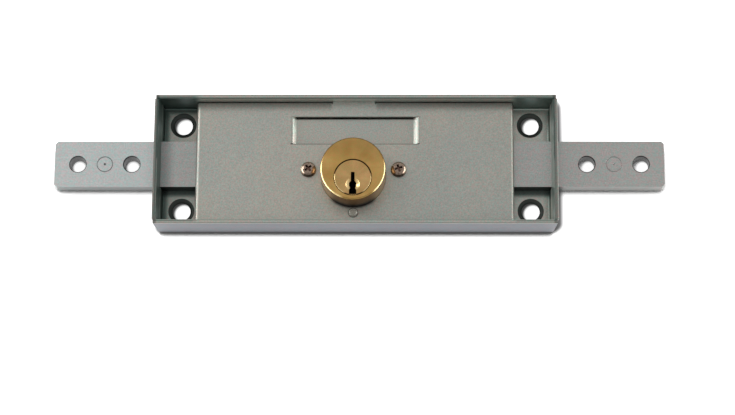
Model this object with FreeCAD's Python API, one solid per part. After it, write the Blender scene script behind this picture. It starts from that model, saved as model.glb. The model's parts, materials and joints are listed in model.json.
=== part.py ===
import FreeCAD, Part
import math
import os

# Roller shutter lock: a folded steel tray with a recessed cover, two flat bolts that
# slide out of its end walls, and an off-centre pin cylinder whose pinion drives both.
# Millimetres. +X runs along the bolts, +Y across the case, +Z out of the case's face.
# The origin is the middle of the back, and the lock lies on its back at z = 0.

Vec = FreeCAD.Vector

# Tray
case_sheet = 1.5
case_bend = 2.2          # outer radius of the folds
end_lean = math.radians(6)     # the end walls lean outwards
rim_rise = 4.35          # how far the rim stands above the cover
wall_margin = 0.9        # between the lowest post's foot and the wall
seam_gap = 0.1           # open seam between neighbouring walls
corner_step = 0.4        # the long walls stop this much short of the end walls' faces

# Fixing holes in the floor
fixing_radius = 3.5
fixing_sink_radius = 5.2
fixing_land = 0.5        # straight wall left under the countersink
fixing_end_margin = 1.6  # countersink to the end wall's fold
fixing_side_margin = 1.1 # countersink to the long wall's fold

# Bolts
bolt_height = 18.4
bolt_thick = 5.0
left_reach = 39.0        # how far the left bolt stands out of the case when locked
right_reach = 41.4       # the right bolt stands out a little more
bolt_corner = 1.0
bolt_hole_radius = 3.1
bolt_hole_pitch = 21.0
bolt_hole_margin = 9.0   # bolt's end to the first hole
bolt_hole_chamfer = 0.35
mark_radius = 3.0        # ring punched midway between the holes
mark_width = 0.3
mark_depth = 0.15

# Clearances
slide_gap = 0.15         # under and over what slides
window_gap = 0.25        # round a bolt in a wall
run_gap = 0.05           # radial, round what turns
edge_gap = 0.1           # beside what is guided by its edge

# Racks and pinion
tooth_module = 0.8
tooth_count = 8
pressure_angle = math.radians(20)
profile_shift = 0.55     # keeps so small a pinion from being undercut
tip_trim = 0.19          # taken off the pinion's pointed tips
root_gap = 0.2           # between a tip and the root that faces it
backlash = 0.12
rack_thick = 2.5
rack_end_land = 2.0      # steel beyond a rack's last gap
rack_clear = 2.5         # between the two racks when both bolts are drawn in
lap_length = 11.0        # overlap of rack and bolt
rivet_radius = 1.5
rivet_spread = 5.0       # from the bolt's middle line to each rivet

# Plug
plug_radius = 6.5
plug_head_step = 0.75    # head's radius over the plug's
plug_head_thick = 1.5
plug_chamfer = 0.3
keyway_blade = 1.4       # narrow upper part of the keyway
keyway_foot = 2.8        # wide lower part
keyway_top = 2.1         # above the plug's axis
keyway_step = 1.7        # below the plug's axis, where it widens
keyway_land = 1.6        # plug left whole behind the keyway
keyway_skin = 0.35       # plug left whole below the keyway, behind its head
dimple_radius = 2.7
dimple_depth = 0.9
dimple_drop = 2.8        # dimple's middle below the plug's axis
tail_radius = 2.1
tail_flat = 1.5          # axis to each flat of the tail
tail_length = 2.0
clip_thick = 0.6
clip_depth = 0.3         # from the cylinder's rear face to the clip
clip_bite = 0.75         # how deep the clip sits in the plug
clip_lip = 0.9           # how far the clip stands out of the plug
clip_mouth = 8.0         # width of the clip's opening
clip_clear = 0.4         # round the clip in its pocket

# Cylinder
lock_x = -0.8            # the cylinder stands a little left of the case's middle
cylinder_y = -5.7
plug_drop = 3.65         # plug's axis below the cylinder's axis
cylinder_wall = 1.05     # brass left below the clip's pocket
cylinder_rise = 10.0     # out of the cover
cylinder_chamfer = 0.45
ear_thick = 1.5
ear_gap = 0.3            # between the ears and the racks
ear_radius = 4.0
ear_root = 10.0          # where an ear's flanks run into the cylinder
screw_clear = 1.75       # screw head to the cylinder's hole in the cover
screw_y = -3.2
screw_radius = 2.0
screw_hole_gap = 0.2
screw_head_radius = 3.1
screw_head_height = 2.2
screw_head_round = 1.5
cross_width = 0.7
cross_length = 3.6
cross_depth = 1.4

# Pin stacks
pin_pitch = 2.4
pin_first_depth = 2.85   # front face to the first pin's axis
pin_floor = 2.6          # rear face to the lowest place for a pin's axis
pin_radius = 0.95
key_pin_tip = 0.5        # longest key pin's tip above the plug's axis
key_pin_steps = (0.9, 0.2, 0.6, 0.0)
driver_length = 3.0
cap_thick = 1.3
spring_wall = 0.3

# Pinion's lower end
journal_radius = 3.0
collar_radius = 4.6
tail_screw_radius = 1.0
tail_screw_head = 1.9
tail_screw_head_thick = 1.1
tail_screw_bite = 1.0    # thread beyond the plug's rear face
tail_slot_width = 0.7
back_gap = 0.1           # turning parts stay this far off the wall behind the lock

# Cover
cover_x = -0.4
cover_clear = 0.55       # between the cover's left foot and the countersinks
cover_gap = 0.5          # between the cover and the long walls
cover_sheet = 1.2
cover_bend = 1.6
foot_clear = 0.8         # between the cover's left foot and the left rack
cylinder_hole_gap = 0.1
tab_width = 16.4
tab_short = 0.2          # tab stops this much inside the wall's face
bridge_length = 50.5
bridge_height = 11.1
bridge_web = 0.45        # between the bridge and the cylinder's hole
bridge_ramp = 2.4
lance_gap = 0.1
slit_gap = 0.65          # open slit above the bridge
strip_gap = 0.2          # between the pressed bridge and the rack

# Posts and studs riveted in the floor
guide_radius = 1.9
shoulder_radius = 3.0
cap_radius = 2.2         # visible post's collar under the cover
post_gap = 0.2           # between that collar and the cylinder
rivet_tail = 1.6
rivet_flare = 2.4
rivet_flare_depth = 0.8
spigot_radius = 1.55
post_head_height = 0.45
upper_stud_step = 16.0   # between the two upper studs
lower_stud_step = 29.0   # from the visible post to the lower stud
stud_clear = 1.7         # from an upper stud's foot to the right bolt drawn in

# Levels, from the back to the front
bolt_bottom = case_sheet + slide_gap
bolt_top = bolt_bottom + bolt_thick
rack_bottom = bolt_top - rack_thick
rack_shelf = rack_bottom - slide_gap
cylinder_bottom = bolt_top + ear_gap
cover_under = cylinder_bottom + ear_thick
cover_top = cover_under + cover_sheet
case_depth = cover_top + rim_rise
cylinder_top = cover_top + cylinder_rise
clip_floor = cylinder_bottom + clip_depth

# Gear sizes
tooth_pitch = math.pi * tooth_module
pitch_radius = tooth_module * tooth_count / 2
base_radius = pitch_radius * math.cos(pressure_angle)
rack_line = pitch_radius + profile_shift * tooth_module
rack_tip = rack_line - tooth_module
pinion_tip = rack_line + tooth_module - tip_trim
pinion_root = rack_tip - root_gap
rack_root = pinion_tip + root_gap
throw = 2 * math.pi * pitch_radius

# Cylinder sizes
plug_y = cylinder_y - plug_drop
plug_head_radius = plug_radius + plug_head_step
clip_outer = plug_radius + clip_lip
clip_inner = plug_radius - clip_bite
clip_pocket = clip_outer + clip_clear
cylinder_radius = plug_drop + clip_pocket + cylinder_wall
cylinder_hole = cylinder_radius + cylinder_hole_gap
screw_offset = cylinder_hole + screw_clear + screw_head_radius

# Places across the case
post_y = cylinder_y - cylinder_radius - post_gap - cap_radius
lower_rack_edge = post_y + guide_radius + edge_gap
stud_y = bolt_height / 2 + edge_gap + guide_radius
half_height = -post_y + shoulder_radius + wall_margin + case_sheet
fixing_y = half_height - case_bend - fixing_side_margin - fixing_sink_radius
bridge_low = cylinder_y + cylinder_hole + bridge_web
bridge_high = bridge_low + bridge_height

# Places along the case
tooth_gap_at_tip = tooth_pitch / 4 + backlash / 2 + tooth_module * math.tan(pressure_angle)
right_rack_end = lock_x - tooth_pitch - tooth_gap_at_tip - rack_end_land
left_lap = right_rack_end - 2 * throw - rack_clear - lap_length
cover_left = left_lap - foot_clear - cover_sheet
cover_half = cover_x - cover_left
fixing_x = -cover_left + cover_clear + fixing_sink_radius
fold_x = fixing_x + fixing_sink_radius + fixing_end_margin
fold_height = case_bend * (1 - math.sin(end_lean))
half_length = (fold_x + case_bend * math.cos(end_lean)
               + (case_depth - fold_height) * math.tan(end_lean))
long_end = half_length - corner_step
long_fold_end = long_end - (case_depth - case_bend) * math.tan(end_lean)
right_lap = lock_x + upper_stud_step + shoulder_radius + stud_clear + throw


def box(x0, x1, y0, y1, z0, z1):
    return Part.makeBox(x1 - x0, y1 - y0, z1 - z0, Vec(x0, y0, z0))


def rod(x, y, z0, z1, radius):
    return Part.makeCylinder(radius, z1 - z0, Vec(x, y, z0))


def cone(x, y, z0, z1, radius0, radius1):
    return Part.makeCone(radius0, radius1, z1 - z0, Vec(x, y, z0))


def joined(first, *others):
    shape = first
    for other in others:
        shape = shape.fuse(other)
    return shape.removeSplitter()


def plate(points, z0, z1):
    corners = [Vec(x, y, z0) for x, y in points]
    face = Part.Face(Part.makePolygon(corners + corners[:1]))
    return face.extrude(Vec(0, 0, z1 - z0))


def folded_channel(half, foot, crown, sheet, bend, start, length, along_y, up):
    """A strip folded into a U, its walls standing up from a web, or hanging below it."""
    inner = bend - sheet
    sign = 1 if up else -1
    web = foot if up else crown
    lip = crown if up else foot

    def at(u, rise):
        z = web + sign * rise
        return Vec(u, start, z) if along_y else Vec(start, u, z)

    def bent(side, radius, ends):
        mid = radius * math.sqrt(0.5)
        centre = half - bend
        outer = [at(side * (centre + radius), bend), at(side * (centre + mid), bend - mid),
                 at(side * centre, bend - radius)]
        if ends == "up":
            outer.reverse()
        return Part.Arc(*outer).toShape()

    reach = abs(lip - web)
    edges = [
        Part.makeLine(at(-half, reach), at(-half, bend)),
        bent(-1, bend, "down"),
        Part.makeLine(at(-half + bend, 0), at(half - bend, 0)),
        bent(1, bend, "up"),
        Part.makeLine(at(half, bend), at(half, reach)),
        Part.makeLine(at(half, reach), at(half - sheet, reach)),
        Part.makeLine(at(half - sheet, reach), at(half - sheet, bend)),
        bent(1, inner, "down"),
        Part.makeLine(at(half - bend, sheet), at(-half + bend, sheet)),
        bent(-1, inner, "up"),
        Part.makeLine(at(-half + sheet, bend), at(-half + sheet, reach)),
        Part.makeLine(at(-half + sheet, reach), at(-half, reach)),
    ]
    direction = Vec(0, length, 0) if along_y else Vec(length, 0, 0)
    return Part.Face(Part.Wire(edges)).extrude(direction)


def mirrored_pairs(x, y):
    return [(sx * x, sy * y) for sx in (-1, 1) for sy in (-1, 1)]


# Tray

def long_wall(low, high):
    """A long wall above its fold, its ends slanting as the end walls lean."""
    right = [(long_fold_end, case_bend), (long_end, case_depth)]
    outline = right + [(-x, z) for x, z in reversed(right)]
    corners = [Vec(x, low, z) for x, z in outline]
    face = Part.Face(Part.makePolygon(corners + corners[:1]))
    return face.extrude(Vec(0, high - low, 0))


def end_wall(side, reach):
    """An end wall and its fold, leaning outwards from the floor."""
    inner = case_bend - case_sheet
    rim = half_length - case_sheet / math.cos(end_lean)
    upright = math.pi / 2

    def at(x, z):
        return Vec(side * x, -reach, z)

    def turned(radius, angle):
        return at(fold_x + radius * math.cos(angle), case_bend - radius * math.sin(angle))

    def bent(radius, start, end):
        return Part.Arc(turned(radius, start), turned(radius, (start + end) / 2),
                        turned(radius, end)).toShape()

    edges = [
        bent(case_bend, upright, end_lean),
        Part.makeLine(turned(case_bend, end_lean), at(half_length, case_depth)),
        Part.makeLine(at(half_length, case_depth), at(rim, case_depth)),
        Part.makeLine(at(rim, case_depth), turned(inner, end_lean)),
        bent(inner, end_lean, upright),
        Part.makeLine(turned(inner, upright), turned(case_bend, upright)),
    ]
    return Part.Face(Part.Wire(edges)).extrude(Vec(0, 2 * reach, 0))


def case_tray():
    web_y = half_height - case_bend
    inside_y = half_height - case_sheet
    reach = inside_y - seam_gap
    tray = folded_channel(half_height, 0, case_depth, case_sheet, case_bend,
                          -long_fold_end, 2 * long_fold_end, along_y=False, up=True)
    walls = []
    for side in (-1, 1):
        low, high = sorted((side * fold_x, side * half_length))
        tray = tray.cut(box(low, high, -web_y, web_y, -1, case_depth))
        end = end_wall(side, reach)
        for across in (-1, 1):
            left, right = sorted((across * web_y, across * reach))
            end = end.cut(box(low - 1, high + 1, left, right, -1, case_bend + seam_gap))
        walls.append(end)
        left, right = sorted((side * inside_y, side * half_height))
        walls.append(long_wall(left, right))
    tray = joined(tray, *walls)
    cuts = []
    for x, y in mirrored_pairs(fixing_x, fixing_y):
        cuts.append(rod(x, y, -1, fixing_land, fixing_radius))
        cuts.append(cone(x, y, fixing_land, case_sheet, fixing_radius, fixing_sink_radius))
    window = bolt_height / 2 + window_gap
    for side in (-1, 1):
        low, high = sorted((side * (fold_x - case_sheet), side * (half_length + 1)))
        cuts.append(box(low, high, -window, window, case_sheet, bolt_top + window_gap))
    cuts.append(box(lock_x - tab_width / 2 - edge_gap, lock_x + tab_width / 2 + edge_gap,
                    inside_y - 1, half_height + 1, cover_under - edge_gap, cover_top + edge_gap))
    cuts.append(rod(lock_x, plug_y, -1, case_sheet + 1, journal_radius + run_gap))
    for x, y in stud_places() + [(lock_x, post_y)]:
        cuts.append(rivet_end(x, y))
    return tray.cut(Part.makeCompound(cuts))


def stud_places():
    return [(lock_x, stud_y), (lock_x + upper_stud_step, stud_y), (lock_x - lower_stud_step, post_y)]


def rivet_end(x, y):
    """The end of a stud spread into the floor, flush with its back."""
    return joined(cone(x, y, 0, rivet_flare_depth, rivet_flare, rivet_tail),
                  rod(x, y, rivet_flare_depth, case_sheet, rivet_tail))


# Studs and the visible post

def stud_foot(x, y):
    return joined(rivet_end(x, y), rod(x, y, case_sheet, rack_shelf, shoulder_radius))


def guide_studs():
    studs = []
    for x, y in stud_places():
        pin = rod(x, y, rack_shelf, bolt_top, guide_radius)
        studs.append(joined(stud_foot(x, y), pin))
    return Part.makeCompound(studs)


def cover_post():
    x, y = lock_x, post_y
    head = rod(x, y, cover_top, cover_top + post_head_height, guide_radius)
    rim = [edge for edge in head.Edges if edge.BoundBox.ZMin > cover_top]
    head = head.makeFillet(post_head_height / 2, rim)
    return joined(
        stud_foot(x, y),
        rod(x, y, rack_shelf, bolt_top + slide_gap, guide_radius),
        rod(x, y, bolt_top + slide_gap, cover_under, cap_radius),
        rod(x, y, cover_under, cover_top, spigot_radius),
        head)


# Cover

def cover_plate():
    length = 2 * (half_height - case_sheet - cover_gap)
    cover = folded_channel(cover_half, case_sheet, cover_top, cover_sheet, cover_bend,
                           -length / 2, length, along_y=True, up=False)
    cover.translate(Vec(cover_x, 0, 0))
    tab = box(lock_x - tab_width / 2, lock_x + tab_width / 2, length / 2 - 1,
              half_height - tab_short, cover_under, cover_top)
    cover = joined(cover, tab)
    window = bolt_height / 2 + window_gap
    half_bridge = bridge_length / 2
    cuts = [
        box(-half_length, half_length, -window, window, case_sheet - 1, bolt_top + window_gap),
        rod(lock_x, cylinder_y, cover_under - 1, cover_top + 1, cylinder_hole),
        rod(lock_x, post_y, cover_under - 1, cover_top + 1, spigot_radius),
        box(cover_x - half_bridge, cover_x + half_bridge, bridge_low, bridge_high,
            cover_under - 1, cover_top + 1),
    ]
    for x in screw_places():
        cuts.append(rod(x, screw_y, cover_under - 1, cover_top + 1, screw_radius + screw_hole_gap))
    cover = cover.cut(Part.makeCompound(cuts))
    return joined(cover, bridge_strip(bridge_low + lance_gap, bridge_high - slit_gap))


def bridge_strip(low, high):
    """The lanced strip, pressed down until it all but touches the rack under it."""
    drop = cover_under - bolt_top - strip_gap
    half = bridge_length / 2
    flat = half - bridge_ramp
    outline = [(-half, 0), (-flat, -drop), (flat, -drop), (half, 0)]
    top = [Vec(cover_x + x, low, cover_top + z) for x, z in outline]
    under = [point - Vec(0, 0, cover_sheet) for point in reversed(top)]
    corners = top + under
    face = Part.Face(Part.makePolygon(corners + corners[:1]))
    return face.extrude(Vec(0, high - low, 0))


# Bolts

def bolt(side, reach, inner_x):
    """A flat bar, drilled at its outer end and stepped at its inner end for the rack."""
    half = bolt_height / 2
    outer_x = side * (half_length + reach)
    corner_x = outer_x - side * bolt_corner
    corner_y = half - bolt_corner
    outline = [(inner_x, -half), (corner_x, -half), (outer_x, -corner_y),
               (outer_x, corner_y), (corner_x, half), (inner_x, half)]
    bar = plate(outline, bolt_bottom, bolt_top)
    low, high = sorted((inner_x - side, inner_x + side * lap_length))
    first = outer_x - side * bolt_hole_margin
    mark_x = first - side * bolt_hole_pitch / 2
    mark_floor = bolt_top - mark_depth
    ring = rod(mark_x, 0, mark_floor, bolt_top + 1, mark_radius + mark_width / 2)
    ring = ring.cut(rod(mark_x, 0, mark_floor - 1, bolt_top + 2, mark_radius - mark_width / 2))
    cuts = [
        box(low, high, -half - 1, half + 1, rack_bottom, bolt_top + 1),
        ring,
        cone(mark_x, 0, mark_floor, bolt_top, mark_width / 2, mark_width),
    ]
    for x in (first, first - side * bolt_hole_pitch):
        cuts.append(rod(x, 0, bolt_bottom - 1, bolt_top + 1, bolt_hole_radius))
        cuts.append(cone(x, 0, bolt_top - bolt_hole_chamfer, bolt_top,
                         bolt_hole_radius, bolt_hole_radius + bolt_hole_chamfer))
    cuts += rivet_rods(inner_x + side * lap_length / 2)
    return bar.cut(Part.makeCompound(cuts))


def rivet_rods(x):
    return [rod(x, y, bolt_bottom, bolt_top, rivet_radius) for y in (-rivet_spread, rivet_spread)]


# Racks and pinion

def toothed_edge(first_gap, last_gap, side):
    """Points of a rack's toothed edge from left to right, on one side of the plug's axis."""
    taper = (rack_root - rack_tip) * math.tan(pressure_angle)
    tooth_gap_at_root = tooth_gap_at_tip - taper
    tip = plug_y + side * rack_tip
    root = plug_y + side * rack_root
    points = []
    for gap in range(first_gap, last_gap + 1):
        x = lock_x + gap * tooth_pitch
        points += [(x - tooth_gap_at_tip, tip), (x - tooth_gap_at_root, root),
                   (x + tooth_gap_at_root, root), (x + tooth_gap_at_tip, tip)]
    return points


def right_rack():
    """Runs above the pinion, so it goes left as the plug turns anticlockwise."""
    half = bolt_height / 2
    tip = plug_y + rack_tip
    right = right_lap + lap_length
    outline = [(right_rack_end, half), (right_rack_end, tip)]
    outline += toothed_edge(-1, tooth_count + 1, 1)
    outline += [(right_lap, tip), (right_lap, -half), (right, -half), (right, half)]
    rivets = rivet_rods(right_lap + lap_length / 2)
    return plate(outline, rack_bottom, bolt_top).cut(Part.makeCompound(rivets))


def left_rack():
    """Runs below the pinion, joined to its bolt by a cranked foot."""
    half = bolt_height / 2
    tip = plug_y - rack_tip
    inner = left_lap + lap_length
    edge = toothed_edge(-tooth_count - 1, 1, -1)
    right = edge[-1][0] + rack_end_land
    outline = [(left_lap, half), (left_lap, lower_rack_edge), (right, lower_rack_edge), (right, tip)]
    outline += list(reversed(edge)) + [(inner, tip), (inner, half)]
    rivets = rivet_rods(left_lap + lap_length / 2)
    return plate(outline, rack_bottom, bolt_top).cut(Part.makeCompound(rivets))


def involute(angle):
    return math.tan(angle) - angle


def tooth_half_angle(radius):
    thick = tooth_module * (math.pi / 2 + 2 * profile_shift * math.tan(pressure_angle))
    at_radius = involute(math.acos(base_radius / radius))
    return thick / (2 * pitch_radius) + involute(pressure_angle) - at_radius


def pinion_teeth(z0, z1):
    flank_steps = 7
    flank = [base_radius + (pinion_tip - base_radius) * i / flank_steps for i in range(flank_steps + 1)]
    points = []
    for tooth in range(tooth_count):
        middle = math.pi / 2 + tooth * 2 * math.pi / tooth_count
        spread = tooth_half_angle(base_radius)
        side = [(pinion_root, spread)] + [(radius, tooth_half_angle(radius)) for radius in flank]
        for radius, half in side:
            points.append((radius, middle - half))
        for radius, half in reversed(side):
            points.append((radius, middle + half))
    return plate([(lock_x + r * math.cos(a), plug_y + r * math.sin(a)) for r, a in points], z0, z1)


def double_d(radius, flat, z0, z1):
    return rod(lock_x, plug_y, z0, z1, radius).common(
        box(lock_x - flat, lock_x + flat, plug_y - radius, plug_y + radius, z0, z1))


def drive_pinion():
    top = cylinder_bottom - slide_gap
    tail_foot = cylinder_bottom - tail_length
    wheel = joined(
        pinion_teeth(rack_shelf, top),
        rod(lock_x, plug_y, bolt_bottom, rack_shelf, collar_radius),
        rod(lock_x, plug_y, back_gap, bolt_bottom, journal_radius))
    head_top = back_gap + tail_screw_head_thick
    return wheel.cut(Part.makeCompound([
        double_d(tail_radius + run_gap / 2, tail_flat + run_gap / 2, tail_foot - run_gap, top + 1),
        rod(lock_x, plug_y, head_top, top, tail_screw_radius),
        rod(lock_x, plug_y, back_gap - 1, head_top, tail_screw_head)]))


def tail_screw():
    head_top = back_gap + tail_screw_head_thick
    tip = cylinder_bottom + tail_screw_bite
    screw = joined(
        rod(lock_x, plug_y, back_gap, head_top, tail_screw_head),
        rod(lock_x, plug_y, head_top, tip, tail_screw_radius))
    slot = box(lock_x - tail_screw_head, lock_x + tail_screw_head, plug_y - tail_slot_width / 2,
               plug_y + tail_slot_width / 2, back_gap - 1, back_gap + tail_screw_head_thick / 2)
    return screw.cut(slot)


# Plug, its clip and the pin stacks

def pin_heights():
    first = cylinder_top - pin_first_depth
    count = 1 + int((first - cylinder_bottom - pin_floor) / pin_pitch)
    return [first - i * pin_pitch for i in range(count)]


def cross_rod(z, y0, y1, radius):
    return Part.makeCylinder(radius, y1 - y0, Vec(lock_x, y0, z), Vec(0, 1, 0))


def cylinder_plug():
    head_floor = cylinder_top - plug_head_thick
    front = cylinder_top - plug_chamfer
    plug = joined(
        double_d(tail_radius, tail_flat, cylinder_bottom - tail_length, cylinder_bottom),
        rod(lock_x, plug_y, cylinder_bottom, head_floor, plug_radius),
        rod(lock_x, plug_y, head_floor, front, plug_head_radius),
        cone(lock_x, plug_y, front, cylinder_top, plug_head_radius, plug_head_radius - plug_chamfer))
    top = cylinder_top + 1
    foot = plug_y - math.sqrt(plug_radius ** 2 - keyway_foot ** 2 / 4) + keyway_skin
    keyway_end = cylinder_bottom + keyway_land
    groove_top = clip_floor + clip_thick + run_gap
    groove = rod(lock_x, plug_y, clip_floor - run_gap, groove_top, plug_radius + 1)
    groove = groove.cut(rod(lock_x, plug_y, cylinder_bottom, cylinder_top, clip_inner - run_gap))

    def slot(width, low, high, floor):
        return box(lock_x - width / 2, lock_x + width / 2, low, high, floor, top)

    cuts = [
        groove,
        slot(keyway_blade, foot, plug_y + keyway_top, keyway_end),
        slot(keyway_foot, foot, plug_y - keyway_step, keyway_end),
        slot(keyway_foot, plug_y - plug_head_radius, foot, head_floor),
        cone(lock_x, plug_y - dimple_drop, cylinder_top - dimple_depth, cylinder_top,
             dimple_radius / 2, dimple_radius),
        rod(lock_x, plug_y, cylinder_bottom - tail_length - 1,
            cylinder_bottom + tail_screw_bite, tail_screw_radius),
    ]
    for z in pin_heights():
        cuts.append(cross_rod(z, plug_y, plug_y + plug_radius + 1, pin_radius + run_gap))
    return plug.cut(Part.makeCompound(cuts))


def plug_clip():
    z0 = clip_floor
    z1 = z0 + clip_thick
    ring = rod(lock_x, plug_y, z0, z1, clip_outer).cut(rod(lock_x, plug_y, z0 - 1, z1 + 1, clip_inner))
    mouth = box(lock_x - clip_mouth / 2, lock_x + clip_mouth / 2, plug_y, plug_y + clip_outer + 1,
                z0 - 1, z1 + 1)
    return ring.cut(mouth)


def shear_line():
    return plug_y + plug_radius


def chamber_top():
    """Where the pin chambers leave the round of the cylinder, less a small recess."""
    hole = pin_radius + run_gap
    return cylinder_y + math.sqrt(cylinder_radius ** 2 - hole ** 2) - edge_gap


def key_pins():
    pins = []
    top = plug_y + math.sqrt((plug_radius - edge_gap) ** 2 - pin_radius ** 2)
    for i, z in enumerate(pin_heights()):
        step = key_pin_steps[i % len(key_pin_steps)]
        pins.append(cross_rod(z, plug_y + key_pin_tip + step, top, pin_radius))
    return Part.makeCompound(pins)


def driver_pins():
    low = shear_line() + 2 * run_gap
    drivers = [cross_rod(z, low, low + driver_length, pin_radius) for z in pin_heights()]
    return Part.makeCompound(drivers)


def pin_springs():
    low = shear_line() + 2 * run_gap + driver_length
    high = chamber_top() - cap_thick
    springs = []
    for z in pin_heights():
        sleeve = cross_rod(z, low, high, pin_radius - run_gap)
        springs.append(sleeve.cut(cross_rod(z, low - 1, high + 1, pin_radius - run_gap - spring_wall)))
    return Part.makeCompound(springs)


def chamber_caps():
    top = chamber_top()
    caps = [cross_rod(z, top - cap_thick, top, pin_radius + run_gap) for z in pin_heights()]
    return Part.makeCompound(caps)


# Cylinder housing and the screws that hold it to the cover

def screw_places():
    return [lock_x - screw_offset, lock_x + screw_offset]


def ear_points(x, y, radius, toward_x, toward_y, body_radius):
    """The outer tangent from an ear's round to the cylinder's round, on both sides."""
    dx, dy = toward_x - x, toward_y - y
    distance = math.hypot(dx, dy)
    along = math.atan2(dy, dx)
    lean = math.acos((radius - body_radius) / distance)
    pairs = []
    for turn in (lean, -lean):
        a = along + turn
        pairs.append(((x + radius * math.cos(a), y + radius * math.sin(a)),
                      (toward_x + body_radius * math.cos(a), toward_y + body_radius * math.sin(a))))
    (ear_a, body_a), (ear_b, body_b) = pairs
    return [ear_a, body_a, body_b, ear_b]


def cylinder_housing():
    front = cylinder_top - cylinder_chamfer
    shapes = [
        rod(lock_x, cylinder_y, cylinder_bottom, front, cylinder_radius),
        cone(lock_x, cylinder_y, front, cylinder_top,
             cylinder_radius, cylinder_radius - cylinder_chamfer)]
    for x in screw_places():
        shapes.append(rod(x, screw_y, cylinder_bottom, cover_under, ear_radius))
        web = ear_points(x, screw_y, ear_radius, lock_x, cylinder_y, ear_root)
        shapes.append(plate(web, cylinder_bottom, cover_under))
    body = joined(*shapes)
    head_floor = cylinder_top - plug_head_thick - run_gap
    pocket_top = clip_floor + clip_thick + ear_gap
    cuts = [
        rod(lock_x, plug_y, cylinder_bottom - 1, head_floor, plug_radius + run_gap),
        rod(lock_x, plug_y, head_floor, cylinder_top + 1, plug_head_radius + run_gap),
        rod(lock_x, plug_y, cylinder_bottom - 1, pocket_top, clip_pocket),
    ]
    for x in screw_places():
        cuts.append(rod(x, screw_y, cylinder_bottom - 1, cover_under + 1, screw_radius))
    for z in pin_heights():
        cuts.append(cross_rod(z, plug_y, cylinder_y + cylinder_radius + 1, pin_radius + run_gap))
    return body.cut(Part.makeCompound(cuts))


def cylinder_screws():
    screws = []
    for x in screw_places():
        head = rod(x, screw_y, cover_top, cover_top + screw_head_height, screw_head_radius)
        rim = [edge for edge in head.Edges if edge.BoundBox.ZMin > cover_top]
        head = head.makeFillet(screw_head_round, rim)
        top = cover_top + screw_head_height + 1
        floor = cover_top + screw_head_height - cross_depth
        cross = joined(
            box(x - cross_length / 2, x + cross_length / 2, screw_y - cross_width / 2,
                screw_y + cross_width / 2, floor, top),
            box(x - cross_width / 2, x + cross_width / 2, screw_y - cross_length / 2,
                screw_y + cross_length / 2, floor, top))
        screws.append(joined(head, rod(x, screw_y, cylinder_bottom, cover_top, screw_radius)).cut(cross))
    return Part.makeCompound(screws)


# Build

nodes = {
    "case_tray": case_tray(),
    "cover_plate": cover_plate(),
    "cover_post": cover_post(),
    "guide_studs": guide_studs(),
    "left_bolt": bolt(-1, left_reach, left_lap + lap_length),
    "right_bolt": bolt(1, right_reach, right_lap),
    "left_rack": left_rack(),
    "right_rack": right_rack(),
    "left_rack_rivets": Part.makeCompound(rivet_rods(left_lap + lap_length / 2)),
    "right_rack_rivets": Part.makeCompound(rivet_rods(right_lap + lap_length / 2)),
    "cylinder_housing": cylinder_housing(),
    "cylinder_plug": cylinder_plug(),
    "cylinder_screws": cylinder_screws(),
    "plug_clip": plug_clip(),
    "key_pins": key_pins(),
    "driver_pins": driver_pins(),
    "pin_springs": pin_springs(),
    "chamber_caps": chamber_caps(),
    "drive_pinion": drive_pinion(),
    "tail_screw": tail_screw(),
}

os.makedirs("parts", exist_ok=True)
for name, shape in nodes.items():
    shape.exportStep("parts/" + name + ".step")
    print(name, "solids", len(shape.Solids), "volume", round(shape.Volume, 1), "valid", shape.isValid())
print("case", round(2 * half_length, 3), round(2 * half_height, 3), round(case_depth, 3))
print("throw", round(throw, 4), "plug axis", lock_x, round(plug_y, 3))
print("fixing holes", round(fixing_x, 3), round(fixing_y, 3), "radius", fixing_radius)
holes_middle = half_length - bolt_hole_margin - bolt_hole_pitch / 2
print("bolt holes", round(-holes_middle - left_reach, 3), round(holes_middle + right_reach, 3),
      "pitch", bolt_hole_pitch)
print("cylinder", round(cylinder_radius, 3), "top", round(cylinder_top, 3))
print("cover top", round(cover_top, 3))
print("screws", round(screw_offset, 3), "post", round(post_y, 3))
print("bridge", round(bridge_low, 3), round(bridge_high, 3))
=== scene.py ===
import json
import math

import bpy
from mathutils import Matrix, Vector


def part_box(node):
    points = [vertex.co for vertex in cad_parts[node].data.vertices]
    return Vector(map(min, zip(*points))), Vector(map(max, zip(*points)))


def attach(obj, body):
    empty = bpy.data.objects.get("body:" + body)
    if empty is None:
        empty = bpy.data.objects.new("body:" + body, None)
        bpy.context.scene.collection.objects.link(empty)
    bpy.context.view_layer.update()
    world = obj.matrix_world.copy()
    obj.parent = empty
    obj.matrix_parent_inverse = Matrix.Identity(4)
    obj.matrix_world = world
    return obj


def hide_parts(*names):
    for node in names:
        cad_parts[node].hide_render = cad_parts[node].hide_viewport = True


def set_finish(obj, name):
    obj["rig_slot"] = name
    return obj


# Roller shutter lock on a white table, seen from above and a little from its lower side.
# Metres. +X runs along the bolts, +Y across the case, +Z out of the case's open face.

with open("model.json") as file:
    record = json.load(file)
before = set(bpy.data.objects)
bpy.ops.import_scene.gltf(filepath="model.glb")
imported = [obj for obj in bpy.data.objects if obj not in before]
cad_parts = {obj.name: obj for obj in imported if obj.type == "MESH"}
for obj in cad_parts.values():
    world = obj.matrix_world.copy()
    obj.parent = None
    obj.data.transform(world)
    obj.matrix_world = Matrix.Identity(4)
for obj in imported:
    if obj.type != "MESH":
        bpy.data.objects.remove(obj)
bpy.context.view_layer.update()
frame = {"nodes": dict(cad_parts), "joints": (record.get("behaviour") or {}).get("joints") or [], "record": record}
mm = 0.001
mounts = {mount["name"]: mount for mount in frame["record"]["mounts"]}
print("frame loaded")


# Places that come from the frame

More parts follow.
